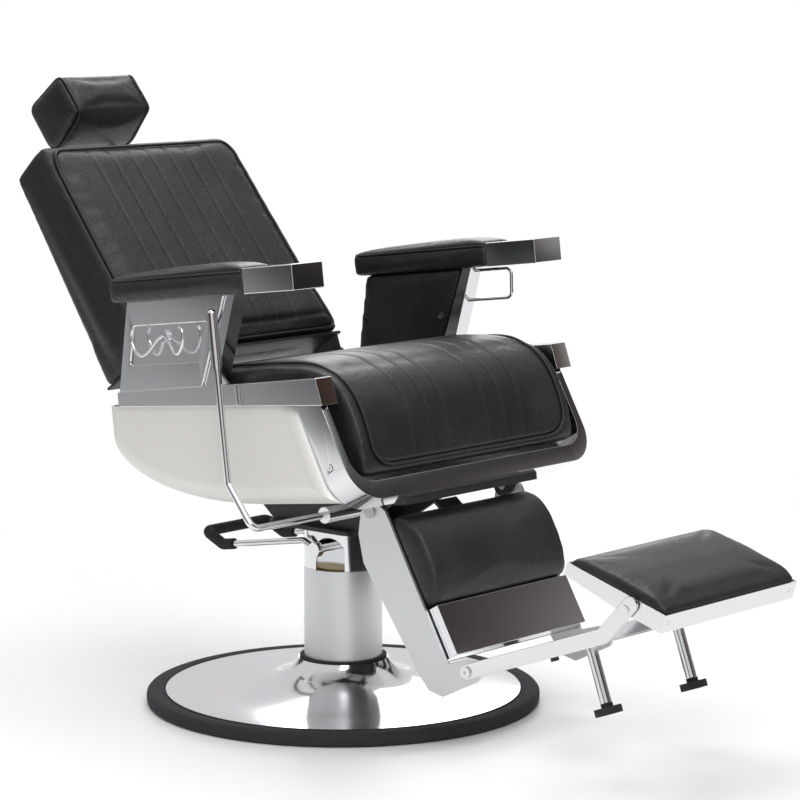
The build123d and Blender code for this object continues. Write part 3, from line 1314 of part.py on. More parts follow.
ROD_TOP = -CROSSBAR_SIZE / 2
ROD_FOOT = ROD_TOP - LEG_ROD_LENGTH
ROD_FOOT_PLANE = plan_plane(FOOT_PIVOT, ARM_TILT, ROD_FOOT)
with BuildPart() as support_legs:
    with BuildSketch(plan_plane(FOOT_PIVOT, ARM_TILT, ROD_TOP)):
        with Locations((-LEG_ROD_SHIFT, CROSSBAR_FRONT), (LEG_ROD_SHIFT, CROSSBAR_FRONT)):
            Circle(LEG_ROD_RADIUS)
    extrude(amount=-LEG_ROD_LENGTH)
    with BuildSketch(ROD_FOOT_PLANE):
        with Locations((-LEG_ROD_SHIFT, CROSSBAR_FRONT), (LEG_ROD_SHIFT, CROSSBAR_FRONT)):
            Circle(FOOT_STEM_RADIUS + RUNNING_FIT)
    extrude(amount=FOOT_STEM_INSERT + LOOSE_FIT, mode=Mode.SUBTRACT)
save(support_legs, "support_legs")

FOOT_SPOTS = ((-LEG_ROD_SHIFT, CROSSBAR_FRONT), (LEG_ROD_SHIFT, CROSSBAR_FRONT))
FOOT_TOP = ROD_FOOT - LOOSE_FIT
with BuildPart() as support_feet:
    with BuildSketch(plan_plane(FOOT_PIVOT, ARM_TILT, ROD_FOOT + FOOT_STEM_INSERT)):
        with Locations(*FOOT_SPOTS):
            Circle(FOOT_STEM_RADIUS)
    extrude(amount=-FOOT_STEM_INSERT - LOOSE_FIT)
    with BuildSketch(plan_plane(FOOT_PIVOT, ARM_TILT, FOOT_TOP)):
        with Locations(*FOOT_SPOTS):
            RegularPolygon(FOOT_NUT_RADIUS, 6)
    extrude(amount=-FOOT_NUT_HEIGHT)
    with BuildSketch(plan_plane(FOOT_PIVOT, ARM_TILT, FOOT_TOP - FOOT_NUT_HEIGHT)):
        with Locations(*FOOT_SPOTS):
            Circle(FOOT_PAD_RADIUS)
    extrude(amount=-FOOT_PAD_THICKNESS)
save(support_feet, "support_feet")

BUMPER_SHIFT = -188.0
with BuildPart() as arm_bumpers:
    with BuildSketch(plan_plane(FOOT_PIVOT, ARM_TILT, -ARM_BAR_WIDTH / 2)):
        with Locations(((ARM_IN + ARM_OUT) / 2, BUMPER_SHIFT)):
            SlotOverall(16.0, ARM_BAR_THICKNESS, rotation=90)
    extrude(amount=-6.0)
    mirror(about=Plane.YZ)
save(arm_bumpers, "arm_bumpers")

with BuildPart() as pad_pivot_screws:
    with BuildSketch(side_plane(PAD_PIVOT, 0, TRAY_HALF_WIDTH - TRAY_WALL - 2.0)):
        Circle(TRAY_PIN_RADIUS)
    extrude(amount=ARM_OUT - TRAY_HALF_WIDTH + TRAY_WALL + 2.0)
    with BuildSketch(side_plane(PAD_PIVOT, 0, ARM_OUT)):
        Circle(TRAY_PIN_RADIUS + 3.0)
    extrude(amount=3.0)
    mirror(about=Plane.YZ)
save(pad_pivot_screws, "pad_pivot_screws")


# ================= flip-over foot pad =================
def tray_outline(inset, low):
    """Side outline of the foot pad tray."""
    return (
        (TRAY_FRONT + inset, TRAY_DROP + low),
        (20.0, TRAY_DROP + low),
        (TRAY_REAR - inset, low),
        (TRAY_REAR - inset, TRAY_TOP),
        (TRAY_FRONT + inset, TRAY_TOP),
    )


with BuildPart() as foot_tray:
    for inset in (0.0, TRAY_WALL):
        with BuildSketch(side_plane(PAD_PIVOT, TRAY_TILT, -TRAY_HALF_WIDTH + inset)):
            with BuildLine():
                Polyline(*tray_outline(inset, inset), close=True)
            make_face()
        extrude(amount=2 * (TRAY_HALF_WIDTH - inset), mode=Mode.SUBTRACT if inset else Mode.ADD)
    with BuildSketch(side_plane(PAD_PIVOT, TRAY_TILT, -TRAY_HALF_WIDTH)):
        Circle(TRAY_PIN_RADIUS + RUNNING_FIT)
    extrude(amount=2 * TRAY_HALF_WIDTH, mode=Mode.SUBTRACT)
save(foot_tray, "foot_tray")

TRAY_FIT = 0.4
PIN_POCKET = TRAY_PIN_RADIUS + 2.0
with BuildPart() as foot_cushion:
    with BuildSketch(side_plane(PAD_PIVOT, TRAY_TILT, -TRAY_HALF_WIDTH + TRAY_WALL)):
        with BuildLine():
            Polyline(
                (TRAY_FRONT + TRAY_WALL, PIN_POCKET),
                (TRAY_REAR - TRAY_WALL, PIN_POCKET),
                (TRAY_REAR - TRAY_WALL, TRAY_TOP + 6.0),
                (TRAY_REAR - 26.0, TRAY_CUSHION_TOP - 3.0),
                ((TRAY_FRONT + TRAY_REAR) / 2, TRAY_CUSHION_TOP),
                (TRAY_FRONT + 26.0, TRAY_CUSHION_TOP - 3.0),
                (TRAY_FRONT + TRAY_WALL, TRAY_TOP + 6.0),
                close=True,
            )
        make_face()
    extrude(amount=2 * (TRAY_HALF_WIDTH - TRAY_WALL))
save(foot_cushion, "foot_cushion")

TRAY_RIVETS = (-TRAY_HALF_WIDTH + 14.0, TRAY_HALF_WIDTH - 14.0)
with BuildPart() as tray_rivets:
    with BuildSketch(face_plane(PAD_PIVOT, TRAY_TILT, TRAY_FRONT)):
        with Locations(*[(x, (TRAY_TOP + TRAY_DROP) / 2) for x in TRAY_RIVETS]):
            Circle(3.5)
    extrude(amount=1.5)
save(tray_rivets, "tray_rivets")
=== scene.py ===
"""Looks of a hydraulic barber chair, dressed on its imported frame.

Lengths are in metres. +Z is up, the chair faces -Y and the sitter's right is -X.
"""

import json
import logging
import math
from collections.abc import Callable, Sequence
from dataclasses import dataclass, field
from enum import Enum

import bmesh
import bpy
import numpy as np
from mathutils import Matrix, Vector
from mathutils.bvhtree import BVHTree


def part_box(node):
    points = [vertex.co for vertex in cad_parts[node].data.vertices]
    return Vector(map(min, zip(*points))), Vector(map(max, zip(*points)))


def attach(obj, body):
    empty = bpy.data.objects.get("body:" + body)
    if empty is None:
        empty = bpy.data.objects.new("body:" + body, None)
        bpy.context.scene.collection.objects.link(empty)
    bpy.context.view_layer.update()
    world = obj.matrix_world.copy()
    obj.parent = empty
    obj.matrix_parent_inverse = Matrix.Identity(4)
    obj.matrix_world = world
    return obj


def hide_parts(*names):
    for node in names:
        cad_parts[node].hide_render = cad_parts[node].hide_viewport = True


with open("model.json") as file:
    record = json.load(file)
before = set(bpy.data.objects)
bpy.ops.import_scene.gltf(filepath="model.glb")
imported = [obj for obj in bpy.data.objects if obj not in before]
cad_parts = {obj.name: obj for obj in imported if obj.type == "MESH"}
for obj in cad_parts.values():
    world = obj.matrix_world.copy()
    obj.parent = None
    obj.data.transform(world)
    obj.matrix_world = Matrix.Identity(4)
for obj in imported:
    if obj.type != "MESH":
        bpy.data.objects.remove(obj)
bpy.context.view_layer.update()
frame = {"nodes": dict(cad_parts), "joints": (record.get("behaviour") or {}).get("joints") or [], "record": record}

LOG = logging.getLogger("barber_chair")
Array = np.ndarray
Number = float | int
MM = 0.001


# ---------------------------------------------------------------- frames
@dataclass(frozen=True)
class Lean:
    """A frame that leans back about X: rear runs along its floor and up runs up its lean."""

    y: float
    z: float
    degrees: float

    @classmethod
    def at_joint(cls, name: str, degrees: float) -> "Lean":
        """Frame at a joint's pivot, leaning back by degrees."""
        pivot = next(j["pos_m"] for j in frame["joints"] if j["name"] == name)
        return cls(pivot[1], pivot[2], degrees)

    @property
    def rearward(self) -> Array:
        """Unit vector of the rear direction."""
        a = math.radians(self.degrees)
        return np.array((0.0, math.cos(a), -math.sin(a)))

    @property
    def upward(self) -> Array:
        """Unit vector of the up direction."""
        a = math.radians(self.degrees)
        return np.array((0.0, math.sin(a), math.cos(a)))

    def world(self, local: Array) -> Array:
        """Turn local points into row points.

        Args:
            local: points as (x, rear, up) in the last axis.

        Returns:
            origin + x X + rear rearward + up upward, in the last axis.
        """
        local = np.asarray(local, float)
        base = np.array((0.0, self.y, self.z))
        across = local[..., :1] * np.array((1.0, 0.0, 0.0))
        return base + across + local[..., 1:2] * self.rearward + local[..., 2:3] * self.upward

    def local(self, points: Array) -> Array:
        """Turn row points into local ones, the inverse of world."""
        away = np.asarray(points, float) - np.array((0.0, self.y, self.z))
        return np.stack((away[..., 0], away @ self.rearward, away @ self.upward), axis=-1)


SEAT_TILT = 7.0
BACK_TILT = 38.0
LEG_TILT = 30.0
TRAY_TILT = -17.0
SEAT_FLOOR = 0.39
SEAT = Lean(0.0, SEAT_FLOOR, SEAT_TILT)
BACK = Lean.at_joint("recline", BACK_TILT)
LEG = Lean.at_joint("leg_rest_tilt", LEG_TILT)
TRAY = Lean.at_joint("foot_pad_flip", TRAY_TILT)


# ---------------------------------------------------------------- shader expressions
class Value:
    """A socket that takes part in sums, each of which adds a Math node."""

    def __init__(self, graph: "Graph", socket: bpy.types.NodeSocket) -> None:
        """Keep the graph and the socket that gives the value."""
        self.graph = graph
        self.socket = socket

    def _math(self, operation: str, first: "Value | Number", second: "Value | Number") -> "Value":
        """Add one Math node.

        Args:
            operation: the Math node's operation.
            first: what goes into its first input.
            second: what goes into its second input.

        Returns:
            The node's result.
        """
        node = self.graph.node("ShaderNodeMath", {"operation": operation}, {0: first, 1: second})
        return Value(self.graph, node.outputs[0])

    def __add__(self, other: "Value | Number") -> "Value":
        """Sum of the two."""
        return self._math("ADD", self, other)

    def __radd__(self, other: Number) -> "Value":
        """Sum of the two."""
        return self._math("ADD", other, self)

    def __sub__(self, other: "Value | Number") -> "Value":
        """This less the other."""
        return self._math("SUBTRACT", self, other)

    def __rsub__(self, other: Number) -> "Value":
        """The other less this."""
        return self._math("SUBTRACT", other, self)

    def __mul__(self, other: "Value | Number") -> "Value":
        """Product of the two."""
        return self._math("MULTIPLY", self, other)

    def __rmul__(self, other: Number) -> "Value":
        """Product of the two."""
        return self._math("MULTIPLY", other, self)

    def __pow__(self, other: "Value | Number") -> "Value":
        """This raised to the other."""
        return self._math("POWER", self, other)

    def ramp(self, low: float, high: float) -> "Value":
        """Smooth step from 0 at low to 1 at high."""
        settings = {"interpolation_type": "SMOOTHSTEP"}
        node = self.graph.node("ShaderNodeMapRange", settings, {0: self, 1: low, 2: high, 3: 0.0, 4: 1.0})
        return Value(self.graph, node.outputs[0])


class Graph:
    """The nodes of one material or world."""

    def __init__(self, tree: bpy.types.NodeTree) -> None:
        """Empty the tree and keep it."""
        tree.nodes.clear()
        self.tree = tree

    def node(self, kind: str, settings: dict | None = None, inputs: dict | None = None) -> bpy.types.Node:
        """Add a node.

        Args:
            kind: the node's type name.
            settings: properties, set first.
            inputs: values, Values or sockets for the node's inputs, by name or number.

        Returns:
            The new node.
        """
        made = self.tree.nodes.new(kind)
        for name, value in (settings or {}).items():
            setattr(made, name, value)
        for name, value in (inputs or {}).items():
            if isinstance(value, Value):
                self.tree.links.new(value.socket, made.inputs[name])
            elif isinstance(value, bpy.types.NodeSocket):
                self.tree.links.new(value, made.inputs[name])
            else:
                made.inputs[name].default_value = value
        return made

    def place(self) -> bpy.types.NodeSocket:
        """Object coordinates."""
        return self.node("ShaderNodeTexCoord").outputs["Object"]

    def noise(
        self, place: bpy.types.NodeSocket, scale: float, detail: float = 4.0, twist: float = 0.0
    ) -> Value:
        """Cloudy value between 0 and 1 at scale cells per metre."""
        inputs = {"Vector": place, "Scale": scale, "Detail": detail, "Distortion": twist}
        return Value(self, self.node("ShaderNodeTexNoise", {}, inputs).outputs[0])

    def cells(self, place: bpy.types.NodeSocket, scale: float, feature: str = "F1") -> Value:
        """Distance to the nearest of scale cells per metre."""
        made = self.node("ShaderNodeTexVoronoi", {"feature": feature}, {"Vector": place, "Scale": scale})
        return Value(self, made.outputs["Distance"])

    def stretched(self, place: bpy.types.NodeSocket, scale: Sequence[float]) -> bpy.types.NodeSocket:
        """Coordinates scaled along each axis."""
        return self.node("ShaderNodeMapping", {}, {"Vector": place, "Scale": tuple(scale)}).outputs[0]

    def blend(self, share: Value, low: Sequence[float], high: Sequence[float]) -> bpy.types.NodeSocket:
        """Colour between low and high by a share."""
        made = self.node("ShaderNodeMix", {"data_type": "RGBA"}, {0: share, 6: (*low, 1.0), 7: (*high, 1.0)})
        return made.outputs[2]

    def bump(self, height: Value, strength: float, distance: float) -> bpy.types.NodeSocket:
        """Normal that a height gives."""
        inputs = {"Strength": strength, "Distance": distance, "Height": height}
        return self.node("ShaderNodeBump", {}, inputs).outputs[0]


# ---------------------------------------------------------------- finishes
@dataclass(frozen=True)
class Finish:
    """A finish that makes its material once."""

    name: str

    def material(self) -> bpy.types.Material:
        """The finish's material, made at its first use."""
        made = bpy.data.materials.get(self.name)
        if made is None:
            made = bpy.data.materials.new(self.name)
            made.use_nodes = True
            graph = Graph(made.node_tree)
            shader = graph.node("ShaderNodeBsdfPrincipled")
            graph.node("ShaderNodeOutputMaterial", {}, {"Surface": shader.outputs[0]})
            self.paint(graph, shader)
        return made

    def paint(self, graph: Graph, shader: bpy.types.Node) -> None:
        """Set the shader's sockets.

        Args:
            graph: the material's nodes.
            shader: its Principled shader.
        """
        raise NotImplementedError

    @staticmethod
    def connect(graph: Graph, shader: bpy.types.Node, sockets: dict) -> None:
        """Give the shader's sockets their values or links."""
        for name, value in sockets.items():
            if isinstance(value, Value):
                value = value.socket
            if isinstance(value, bpy.types.NodeSocket):
                graph.tree.links.new(value, shader.inputs[name])
            else:
                shader.inputs[name].default_value = value


@dataclass(frozen=True)
class Leather(Finish):
    """Pebbled upholstery leather with fine creases."""

    dark: tuple[float, float, float] = (0.010, 0.010, 0.011)
    worn: tuple[float, float, float] = (0.026, 0.026, 0.027)
    grain: float = 900.0
    creases: float = 130.0
    slack: float = 26.0
    roughness: float = 0.34

    def paint(self, graph: Graph, shader: bpy.types.Node) -> None:
        """Grain from small cells, creases from stretched noise, and soft patches of wear."""
        place = graph.place()
        pebble = graph.cells(place, self.grain)
        crease = graph.noise(place, self.creases, 6.0, 1.6)
        fold = graph.cells(place, self.creases * 0.9, "DISTANCE_TO_EDGE").ramp(0.0, 0.22)
        patch = graph.noise(place, 9.0, 3.0)
        slack = graph.noise(place, self.slack, 3.0, 1.2)
        height = pebble * 0.25 + crease * 0.8 + fold * 0.3 + slack * 2.4
        gloss = self.roughness + patch * 0.16 + pebble * 0.06
        wear = (patch * 0.6 + crease * 0.4).ramp(0.42, 0.72)
        sockets = {
            "Base Color": graph.blend(wear, self.dark, self.worn),
            "Roughness": gloss,
            "Normal": graph.bump(height, 0.5, 0.0011),
            "Specular IOR Level": 0.42,
            "Coat Weight": 0.16,
            "Coat Roughness": 0.24,
        }
        self.connect(graph, shader, sockets)


@dataclass(frozen=True)
class Metal(Finish):
    """Polished or plated metal with faint smudges and hairlines."""

    colour: tuple[float, float, float] = (0.80, 0.81, 0.82)
    tarnish: tuple[float, float, float] = (0.70, 0.71, 0.72)
    roughness: float = 0.05
    smudge: float = 0.10
    hairline: float = 0.02
    grain: tuple[float, float, float] = (40.0, 40.0, 900.0)
    ripple: float = 9.0
    wave_depth: float = 0.0035

    def paint(self, graph: Graph, shader: bpy.types.Node) -> None:
        """Smudges raise the roughness, and stretched noise gives hairlines."""
        place = graph.place()
        cloud = graph.noise(place, 14.0, 5.0, 0.4).ramp(0.45, 0.8)
        line = graph.noise(graph.stretched(place, self.grain), 1.0, 3.0)
        wave = graph.noise(place, self.ripple, 1.5, 0.6)
        sockets = {
            "Metallic": 1.0,
            "Base Color": graph.blend(cloud, self.colour, self.tarnish),
            "Roughness": self.roughness + cloud * self.smudge + line * self.hairline,
            "Normal": graph.bump(wave + line * 0.004, 1.0, self.wave_depth),
        }
        self.connect(graph, shader, sockets)


@dataclass(frozen=True)
class Coated(Finish):
    """Paint, enamel, rubber or moulded plastic."""

    colour: tuple[float, float, float] = (0.8, 0.8, 0.76)
    shade: tuple[float, float, float] = (0.76, 0.76, 0.72)
    roughness: float = 0.22
    uneven: float = 0.06
    peel: float = 260.0
    peel_depth: float = 0.0002
    coat: float = 0.5

    def paint(self, graph: Graph, shader: bpy.types.Node) -> None:
        """Slow colour drift and a fine uneven skin."""
        place = graph.place()
        drift = graph.noise(place, 5.0, 3.0)
        skin = graph.noise(place, self.peel, 3.0)
        speck = graph.noise(place, 60.0, 5.0).ramp(0.5, 0.8)
        sockets = {
            "Base Color": graph.blend(drift, self.colour, self.shade),
            "Roughness": self.roughness + speck * self.uneven,
            "Normal": graph.bump(skin, 0.25, self.peel_depth),
            "Coat Weight": self.coat,
            "Coat Roughness": 0.08,
        }
        self.connect(graph, shader, sockets)


@dataclass(frozen=True)
class Backdrop(Finish):
    """Pale floor that turns into the white of the surround with distance."""

    colour: tuple[float, float, float] = (0.92, 0.92, 0.92)
    near: float = 0.7
    far: float = 3.2

    def material(self) -> bpy.types.Material:
        """The floor's material: a pale surface mixed with a white glow by distance."""
        made = bpy.data.materials.get(self.name)
        if made is None:
            made = bpy.data.materials.new(self.name)
            made.use_nodes = True
            graph = Graph(made.node_tree)
            split = graph.node("ShaderNodeSeparateXYZ", {}, {0: graph.place()})
            x, y = (Value(graph, split.outputs[axis]) for axis in range(2))
            share = ((x * x + y * y) ** 0.5).ramp(self.near, self.far)
            surface = graph.node(
                "ShaderNodeBsdfPrincipled", {}, {"Base Color": (*self.colour, 1.0), "Roughness": 0.5}
            )
            glow = graph.node("ShaderNodeEmission", {}, {"Color": (1.0, 1.0, 1.0, 1.0), "Strength": 1.0})
            inputs = {0: share, 1: surface.outputs[0], 2: glow.outputs[0]}
            both = graph.node("ShaderNodeMixShader", {}, inputs)
            graph.node("ShaderNodeOutputMaterial", {}, {"Surface": both.outputs[0]})
        return made


LEATHER = Leather("black_leather_hide")
WELT = Leather("black_leather_welt", grain=1300.0, creases=420.0, roughness=0.30)
CHROME = Metal("chrome_plate")
ALUMINIUM = Metal(
    "polished_aluminium",
    colour=(0.78, 0.79, 0.80),
    tarnish=(0.66, 0.67, 0.68),
    roughness=0.09,
    smudge=0.10,
    hairline=0.10,
    grain=(160.0, 160.0, 5.0),
    wave_depth=0.002,
)
ZINC = Metal(
    "zinc_steel",
    colour=(0.56, 0.56, 0.57),
    tarnish=(0.44, 0.44, 0.45),
    roughness=0.30,
    smudge=0.15,
    hairline=0.10,
)
BRONZE = Metal(
    "bearing_bronze",
    colour=(0.62, 0.44, 0.20),
    tarnish=(0.40, 0.27, 0.12),
    roughness=0.30,
    smudge=0.20,
    hairline=0.10,
)
ENAMEL = Coated(
    "white_enamel",
    colour=(0.80, 0.80, 0.755),
    shade=(0.775, 0.775, 0.73),
    roughness=0.16,
    uneven=0.06,
    peel=90.0,
    peel_depth=0.0003,
    coat=0.6,
)
RUBBER = Coated(
    "black_rubber",
    colour=(0.014, 0.014, 0.015),
    shade=(0.024, 0.024, 0.025),
    roughness=0.36,
    uneven=0.2,
    peel=700.0,
    peel_depth=0.0004,
    coat=0.0,
)
BLACK_PAINT = Coated(
    "black_steel",
    colour=(0.012, 0.012, 0.013),
    shade=(0.02, 0.02, 0.021),
    roughness=0.30,
    uneven=0.15,
    peel=300.0,
    peel_depth=0.0003,
    coat=0.2,
)
THREAD = Coated(
    "black_thread",
    colour=(0.03, 0.03, 0.032),
    shade=(0.05, 0.05, 0.052),
    roughness=0.6,
    uneven=0.1,
    peel=2500.0,
    peel_depth=0.0002,
    coat=0.0,
)
FLOOR = Backdrop("pale_floor")

SLOTS = {
    "black_leather": LEATHER,
    "chrome_plate": CHROME,
    "polished_aluminium": ALUMINIUM,
    "white_enamel": ENAMEL,
    "black_rubber": RUBBER,
    "black_steel": BLACK_PAINT,
    "zinc_steel": ZINC,
    "bearing_bronze": BRONZE,
}


# ---------------------------------------------------------------- meshes
def unit(rows: Array) -> Array:
    """Vectors scaled to length one along the last axis."""
    return rows / np.maximum(np.linalg.norm(rows, axis=-1, keepdims=True), 1e-12)


def resample(path: Array, step: float, closed: bool = False) -> Array:
    """Points at even distances along a polyline.

    Args:
        path: the polyline's points, one per row.
        step: the wanted distance between points.
        closed: whether the last point joins the first.

    Returns:
        Points by linear interpolation on the running length; a closed path doesn't repeat its start.
    """
    path = np.vstack((path, path[:1])) if closed else path
    run = np.concatenate(((0.0,), np.cumsum(np.linalg.norm(np.diff(path, axis=0), axis=1))))
    count = max(int(round(run[-1] / step)), 4)
    spots = np.linspace(0.0, run[-1], count + 1)
    points = np.stack([np.interp(spots, run, path[:, axis]) for axis in range(path.shape[1])], axis=1)
    return points[:-1] if closed else points


def eased(path: Array, passes: int, closed: bool = False) -> Array:
    """A path with each point moved to the mean of itself and its neighbours, passes times."""
    for _ in range(passes):
        if closed:
            path = (np.roll(path, 1, axis=0) + 2.0 * path + np.roll(path, -1, axis=0)) / 4.0
        else:
            path[1:-1] = (path[:-2] + 2.0 * path[1:-1] + path[2:]) / 4.0
    return path


def mesh_object(name: str, points: Array, faces: list) -> bpy.types.Object:
    """A linked object made from points and faces."""
    mesh = bpy.data.meshes.new(name)
    mesh.from_pydata(points.reshape(-1, 3).tolist(), [], faces)
    made = bpy.data.objects.new(name, mesh)
    bpy.context.scene.collection.objects.link(made)
    return made


def sheet_faces(rows: int, columns: int, wrap_rows: bool, wrap_columns: bool) -> Array:
    """Corner numbers of the quads of a grid, joined end to end where it wraps."""
    index = np.arange(rows * columns).reshape(rows, columns)
    index = np.vstack((index, index[:1])) if wrap_rows else index
    index = np.hstack((index, index[:, :1])) if wrap_columns else index
    corners = (index[:-1, :-1], index[1:, :-1], index[1:, 1:], index[:-1, 1:])
    return np.stack(corners, axis=-1).reshape(-1, 4)


def closed_up(made: bpy.types.Object) -> bpy.types.Object:
    """Merge doubles, turn every face outwards and shade smooth."""
    work = bmesh.new()
    work.from_mesh(made.data)
    bmesh.ops.remove_doubles(work, verts=work.verts, dist=1e-7)
    bmesh.ops.recalc_face_normals(work, faces=work.faces)
    work.to_mesh(made.data)
    work.free()
    made.data.shade_smooth()
    return made


def swept(name: str, path: Array, ups: Array, radius: float, sides: int, closed: bool) -> bpy.types.Object:
    """A round cord along a path.

    The ring at each path point is radius (cos a side + sin a up), where side is the cross product of the
    path's direction and up.

    Args:
        name: the object's name.
        path: centre line points.
        ups: a direction at each point, square to the path or nearly so.
        radius: the cord's radius.
        sides: points round the cord.
        closed: whether the path is a loop.

    Returns:
        The cord's object.
    """
    if closed:
        along = unit(np.roll(path, -1, axis=0) - np.roll(path, 1, axis=0))
    else:
        along = unit(np.gradient(path, axis=0))
    side = unit(np.cross(along, ups))
    up = np.cross(side, along)
    angle = np.linspace(0.0, 2.0 * math.pi, sides, endpoint=False)[:, None]
    rings = path[:, None] + radius * (np.cos(angle) * side[:, None] + np.sin(angle) * up[:, None])
    faces = sheet_faces(len(path), sides, closed, True).tolist()
    if not closed:
        last = len(path) * sides
        faces += [list(range(sides)), list(range(last - 1, last - sides - 1, -1))]
    return closed_up(mesh_object(name, rings, faces))


def turned(name: str, profile: Array, count: int) -> bpy.types.Object:
    """A closed profile of (radius, height) points carried round the Z axis in count steps."""
    angle = np.linspace(0.0, 2.0 * math.pi, count, endpoint=False)[:, None]
    radius = profile[None, :, 0]
    height = np.broadcast_to(profile[None, :, 1], (count, len(profile)))
    points = np.stack((radius * np.cos(angle), radius * np.sin(angle), height), axis=-1)
    return closed_up(mesh_object(name, points, sheet_faces(count, len(profile), True, True).tolist()))


def stitched(
    name: str, spots: Array, along: Array, ups: Array, length: float, radius: float
) -> bpy.types.Object:
    """Short threads, each a spindle of rings along its own direction.

    Ring radii are radius times sin of the share of the length, so each end tapers into the hide.

    Args:
        name: the object's name.
        spots: centre of each thread.
        along: direction of each thread.
        ups: outward direction at each thread.
        length: thread length.
        radius: greatest thread radius.

    Returns:
        One object that holds every thread.
    """
    rings, sides = 5, 6
    share = np.linspace(0.06, 0.94, rings)
    angle = np.linspace(0.0, 2.0 * math.pi, sides, endpoint=False)
    side = unit(np.cross(along, ups))
    up = np.cross(side, along)
    swell = radius * np.sin(share * math.pi)
    offset = np.cos(angle)[:, None, None] * side + np.sin(angle)[:, None, None] * up
    run = (share - 0.5)[:, None, None] * length * along
    points = spots + run[:, None] + swell[:, None, None, None] * offset[None]
    points = np.moveaxis(points, 2, 0)
    single = sheet_faces(rings, sides, False, True).tolist()
    single += [list(range(sides)), list(range(rings * sides - 1, (rings - 1) * sides - 1, -1))]
    starts = np.arange(len(spots)) * rings * sides
    faces = [[start + corner for corner in face] for start in starts.tolist() for face in single]
    return closed_up(mesh_object(name, points, faces))


def dress(made: bpy.types.Object, finish: Finish, body: str) -> bpy.types.Object:
    """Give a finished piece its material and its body."""
    made.data.materials.clear()
    made.data.materials.append(finish.material())
    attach(made, body)
    LOG.info("%s: %d faces, on %s", made.name, len(made.data.polygons), body)
    return made


# ---------------------------------------------------------------- hard parts
@dataclass
class Ironwork:
    """The frame's hard nodes: every one gets its finish, and the flat-sided ones get eased edges."""

    softened: dict[str, float] = field(default_factory=dict)
    crease: float = 32.0
    flat: float = 0.4

    def dress(self) -> None:
        """Give every node the finish of its slot, then ease the edges of the listed ones."""
        slots = {part["node"]: part["material_slot"] for part in frame["record"]["subparts"]}
        for name, node in frame["nodes"].items():
            finish = SLOTS[slots[name]].material()
            if not node.material_slots:
                node.data.materials.append(finish)
            for held in node.material_slots:
                held.material = finish
        bodies = frame["record"]["behaviour"]["bodies"]
        owner = {name: body for body, names in bodies.items() for name in names}
        for name, width in self.softened.items():
            made = self.eased_copy(name, width)
            dress(made, SLOTS[slots[name]], owner[name])
            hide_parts(name)

    def eased_copy(self, name: str, width: float) -> bpy.types.Object:
        """A node's shape with its flat faces joined and its sharp edges rounded.

        Args:
            name: the CAD node.
            width: how far the rounding reaches from each edge.

        Returns:
            The new object, with smooth shading kept off creases.
        """
        made = bpy.data.objects.new(name + "_eased", frame["nodes"][name].data.copy())
        bpy.context.scene.collection.objects.link(made)
        work = bmesh.new()
        work.from_mesh(made.data)
        bmesh.ops.remove_doubles(work, verts=work.verts, dist=2e-6)
        bmesh.ops.dissolve_limit(
            work,
            angle_limit=math.radians(self.flat),
            verts=work.verts,
            edges=work.edges,
            use_dissolve_boundaries=False,
        )
        limit = math.radians(self.crease)
        sharp = [e for e in work.edges if len(e.link_faces) == 2 and e.calc_face_angle(0.0) > limit]
        bmesh.ops.bevel(
            work, geom=sharp, offset=width, segments=2, profile=0.5, affect="EDGES", clamp_overlap=True
        )
        bmesh.ops.remove_doubles(work, verts=work.verts, dist=1e-6)
        bmesh.ops.recalc_face_normals(work, faces=work.faces)
        bmesh.ops.triangulate(work, faces=[f for f in work.faces if len(f.verts) > 4])
        work.to_mesh(made.data)
        work.free()
        made.data.shade_smooth()
        made.data.set_sharp_from_angle(angle=limit)
        weigh = made.modifiers.new("flat faces first", "WEIGHTED_NORMAL")
        weigh.keep_sharp = True
        weigh.weight = 90
        return made


@dataclass
class TrimRing:
    """The rubber ring round the base, with ribs rolled into its top and side."""

    ribs: int = 4
    rib_depth: float = 0.9 * MM
    points: int = 160
    steps: int = 256
    squareness: float = 0.55
    rib_turn: float = 0.25

    def build(self) -> None:
        """Turn the ring's section and dress it.

        The section is a rounded oblong: x and z are half-sizes times a superellipse of the angle, and the
        ribs are a cosine ripple over its upper outer quarter.
        """
        low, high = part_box("base_trim_ring")
        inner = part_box("base_dish")[1].x - 1.0 * MM
        half_width, half_height = (high.x - inner) / 2, (high.z - low.z) / 2
        angle = np.linspace(0.0, 2.0 * math.pi, self.points, endpoint=False)
        across = np.sign(np.cos(angle)) * np.abs(np.cos(angle)) ** self.squareness
        rise = np.sign(np.sin(angle)) * np.abs(np.sin(angle)) ** self.squareness
        window = np.clip(np.sin(angle + self.rib_turn), 0.0, 1.0)
        ripple = self.rib_depth * window * (0.5 - 0.5 * np.cos(self.ribs * 4.0 * angle))
        radius = inner + half_width + across * (half_width - ripple)
        height = half_height + rise * (half_height - ripple)
        made = turned("base_trim_ribbed", np.stack((radius, height), axis=1), self.steps)
        dress(made, RUBBER, "base")
        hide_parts("base_trim_ring")


# ---------------------------------------------------------------- upholstery
@dataclass(frozen=True)
class Stuffing:
    """How stiff the hide is and how hard the stuffing presses on it."""

    quality: int = 4
    mass: float = 0.3
    stretch: float = 20.0
    shear: float = 8.0
    bending: float = 2.0
    pressure: float = 4.0


@dataclass(frozen=True)
class Groove:
    """How deep the hide sinks along a seam and how wide the sunk band is to either side."""

    depth: float
    width: float


STUFFING = Stuffing()
WELT_GROOVE = Groove(3.0 * MM, 5.0 * MM)
LIP_GROOVE = Groove(3.0 * MM, 6.0 * MM)
STITCH_GROOVE = Groove(2.2 * MM, 3.6 * MM)
HEAD_GROOVE = Groove(2.2 * MM, 4.0 * MM)
ARM_GROOVE = Groove(1.8 * MM, 3.5 * MM)


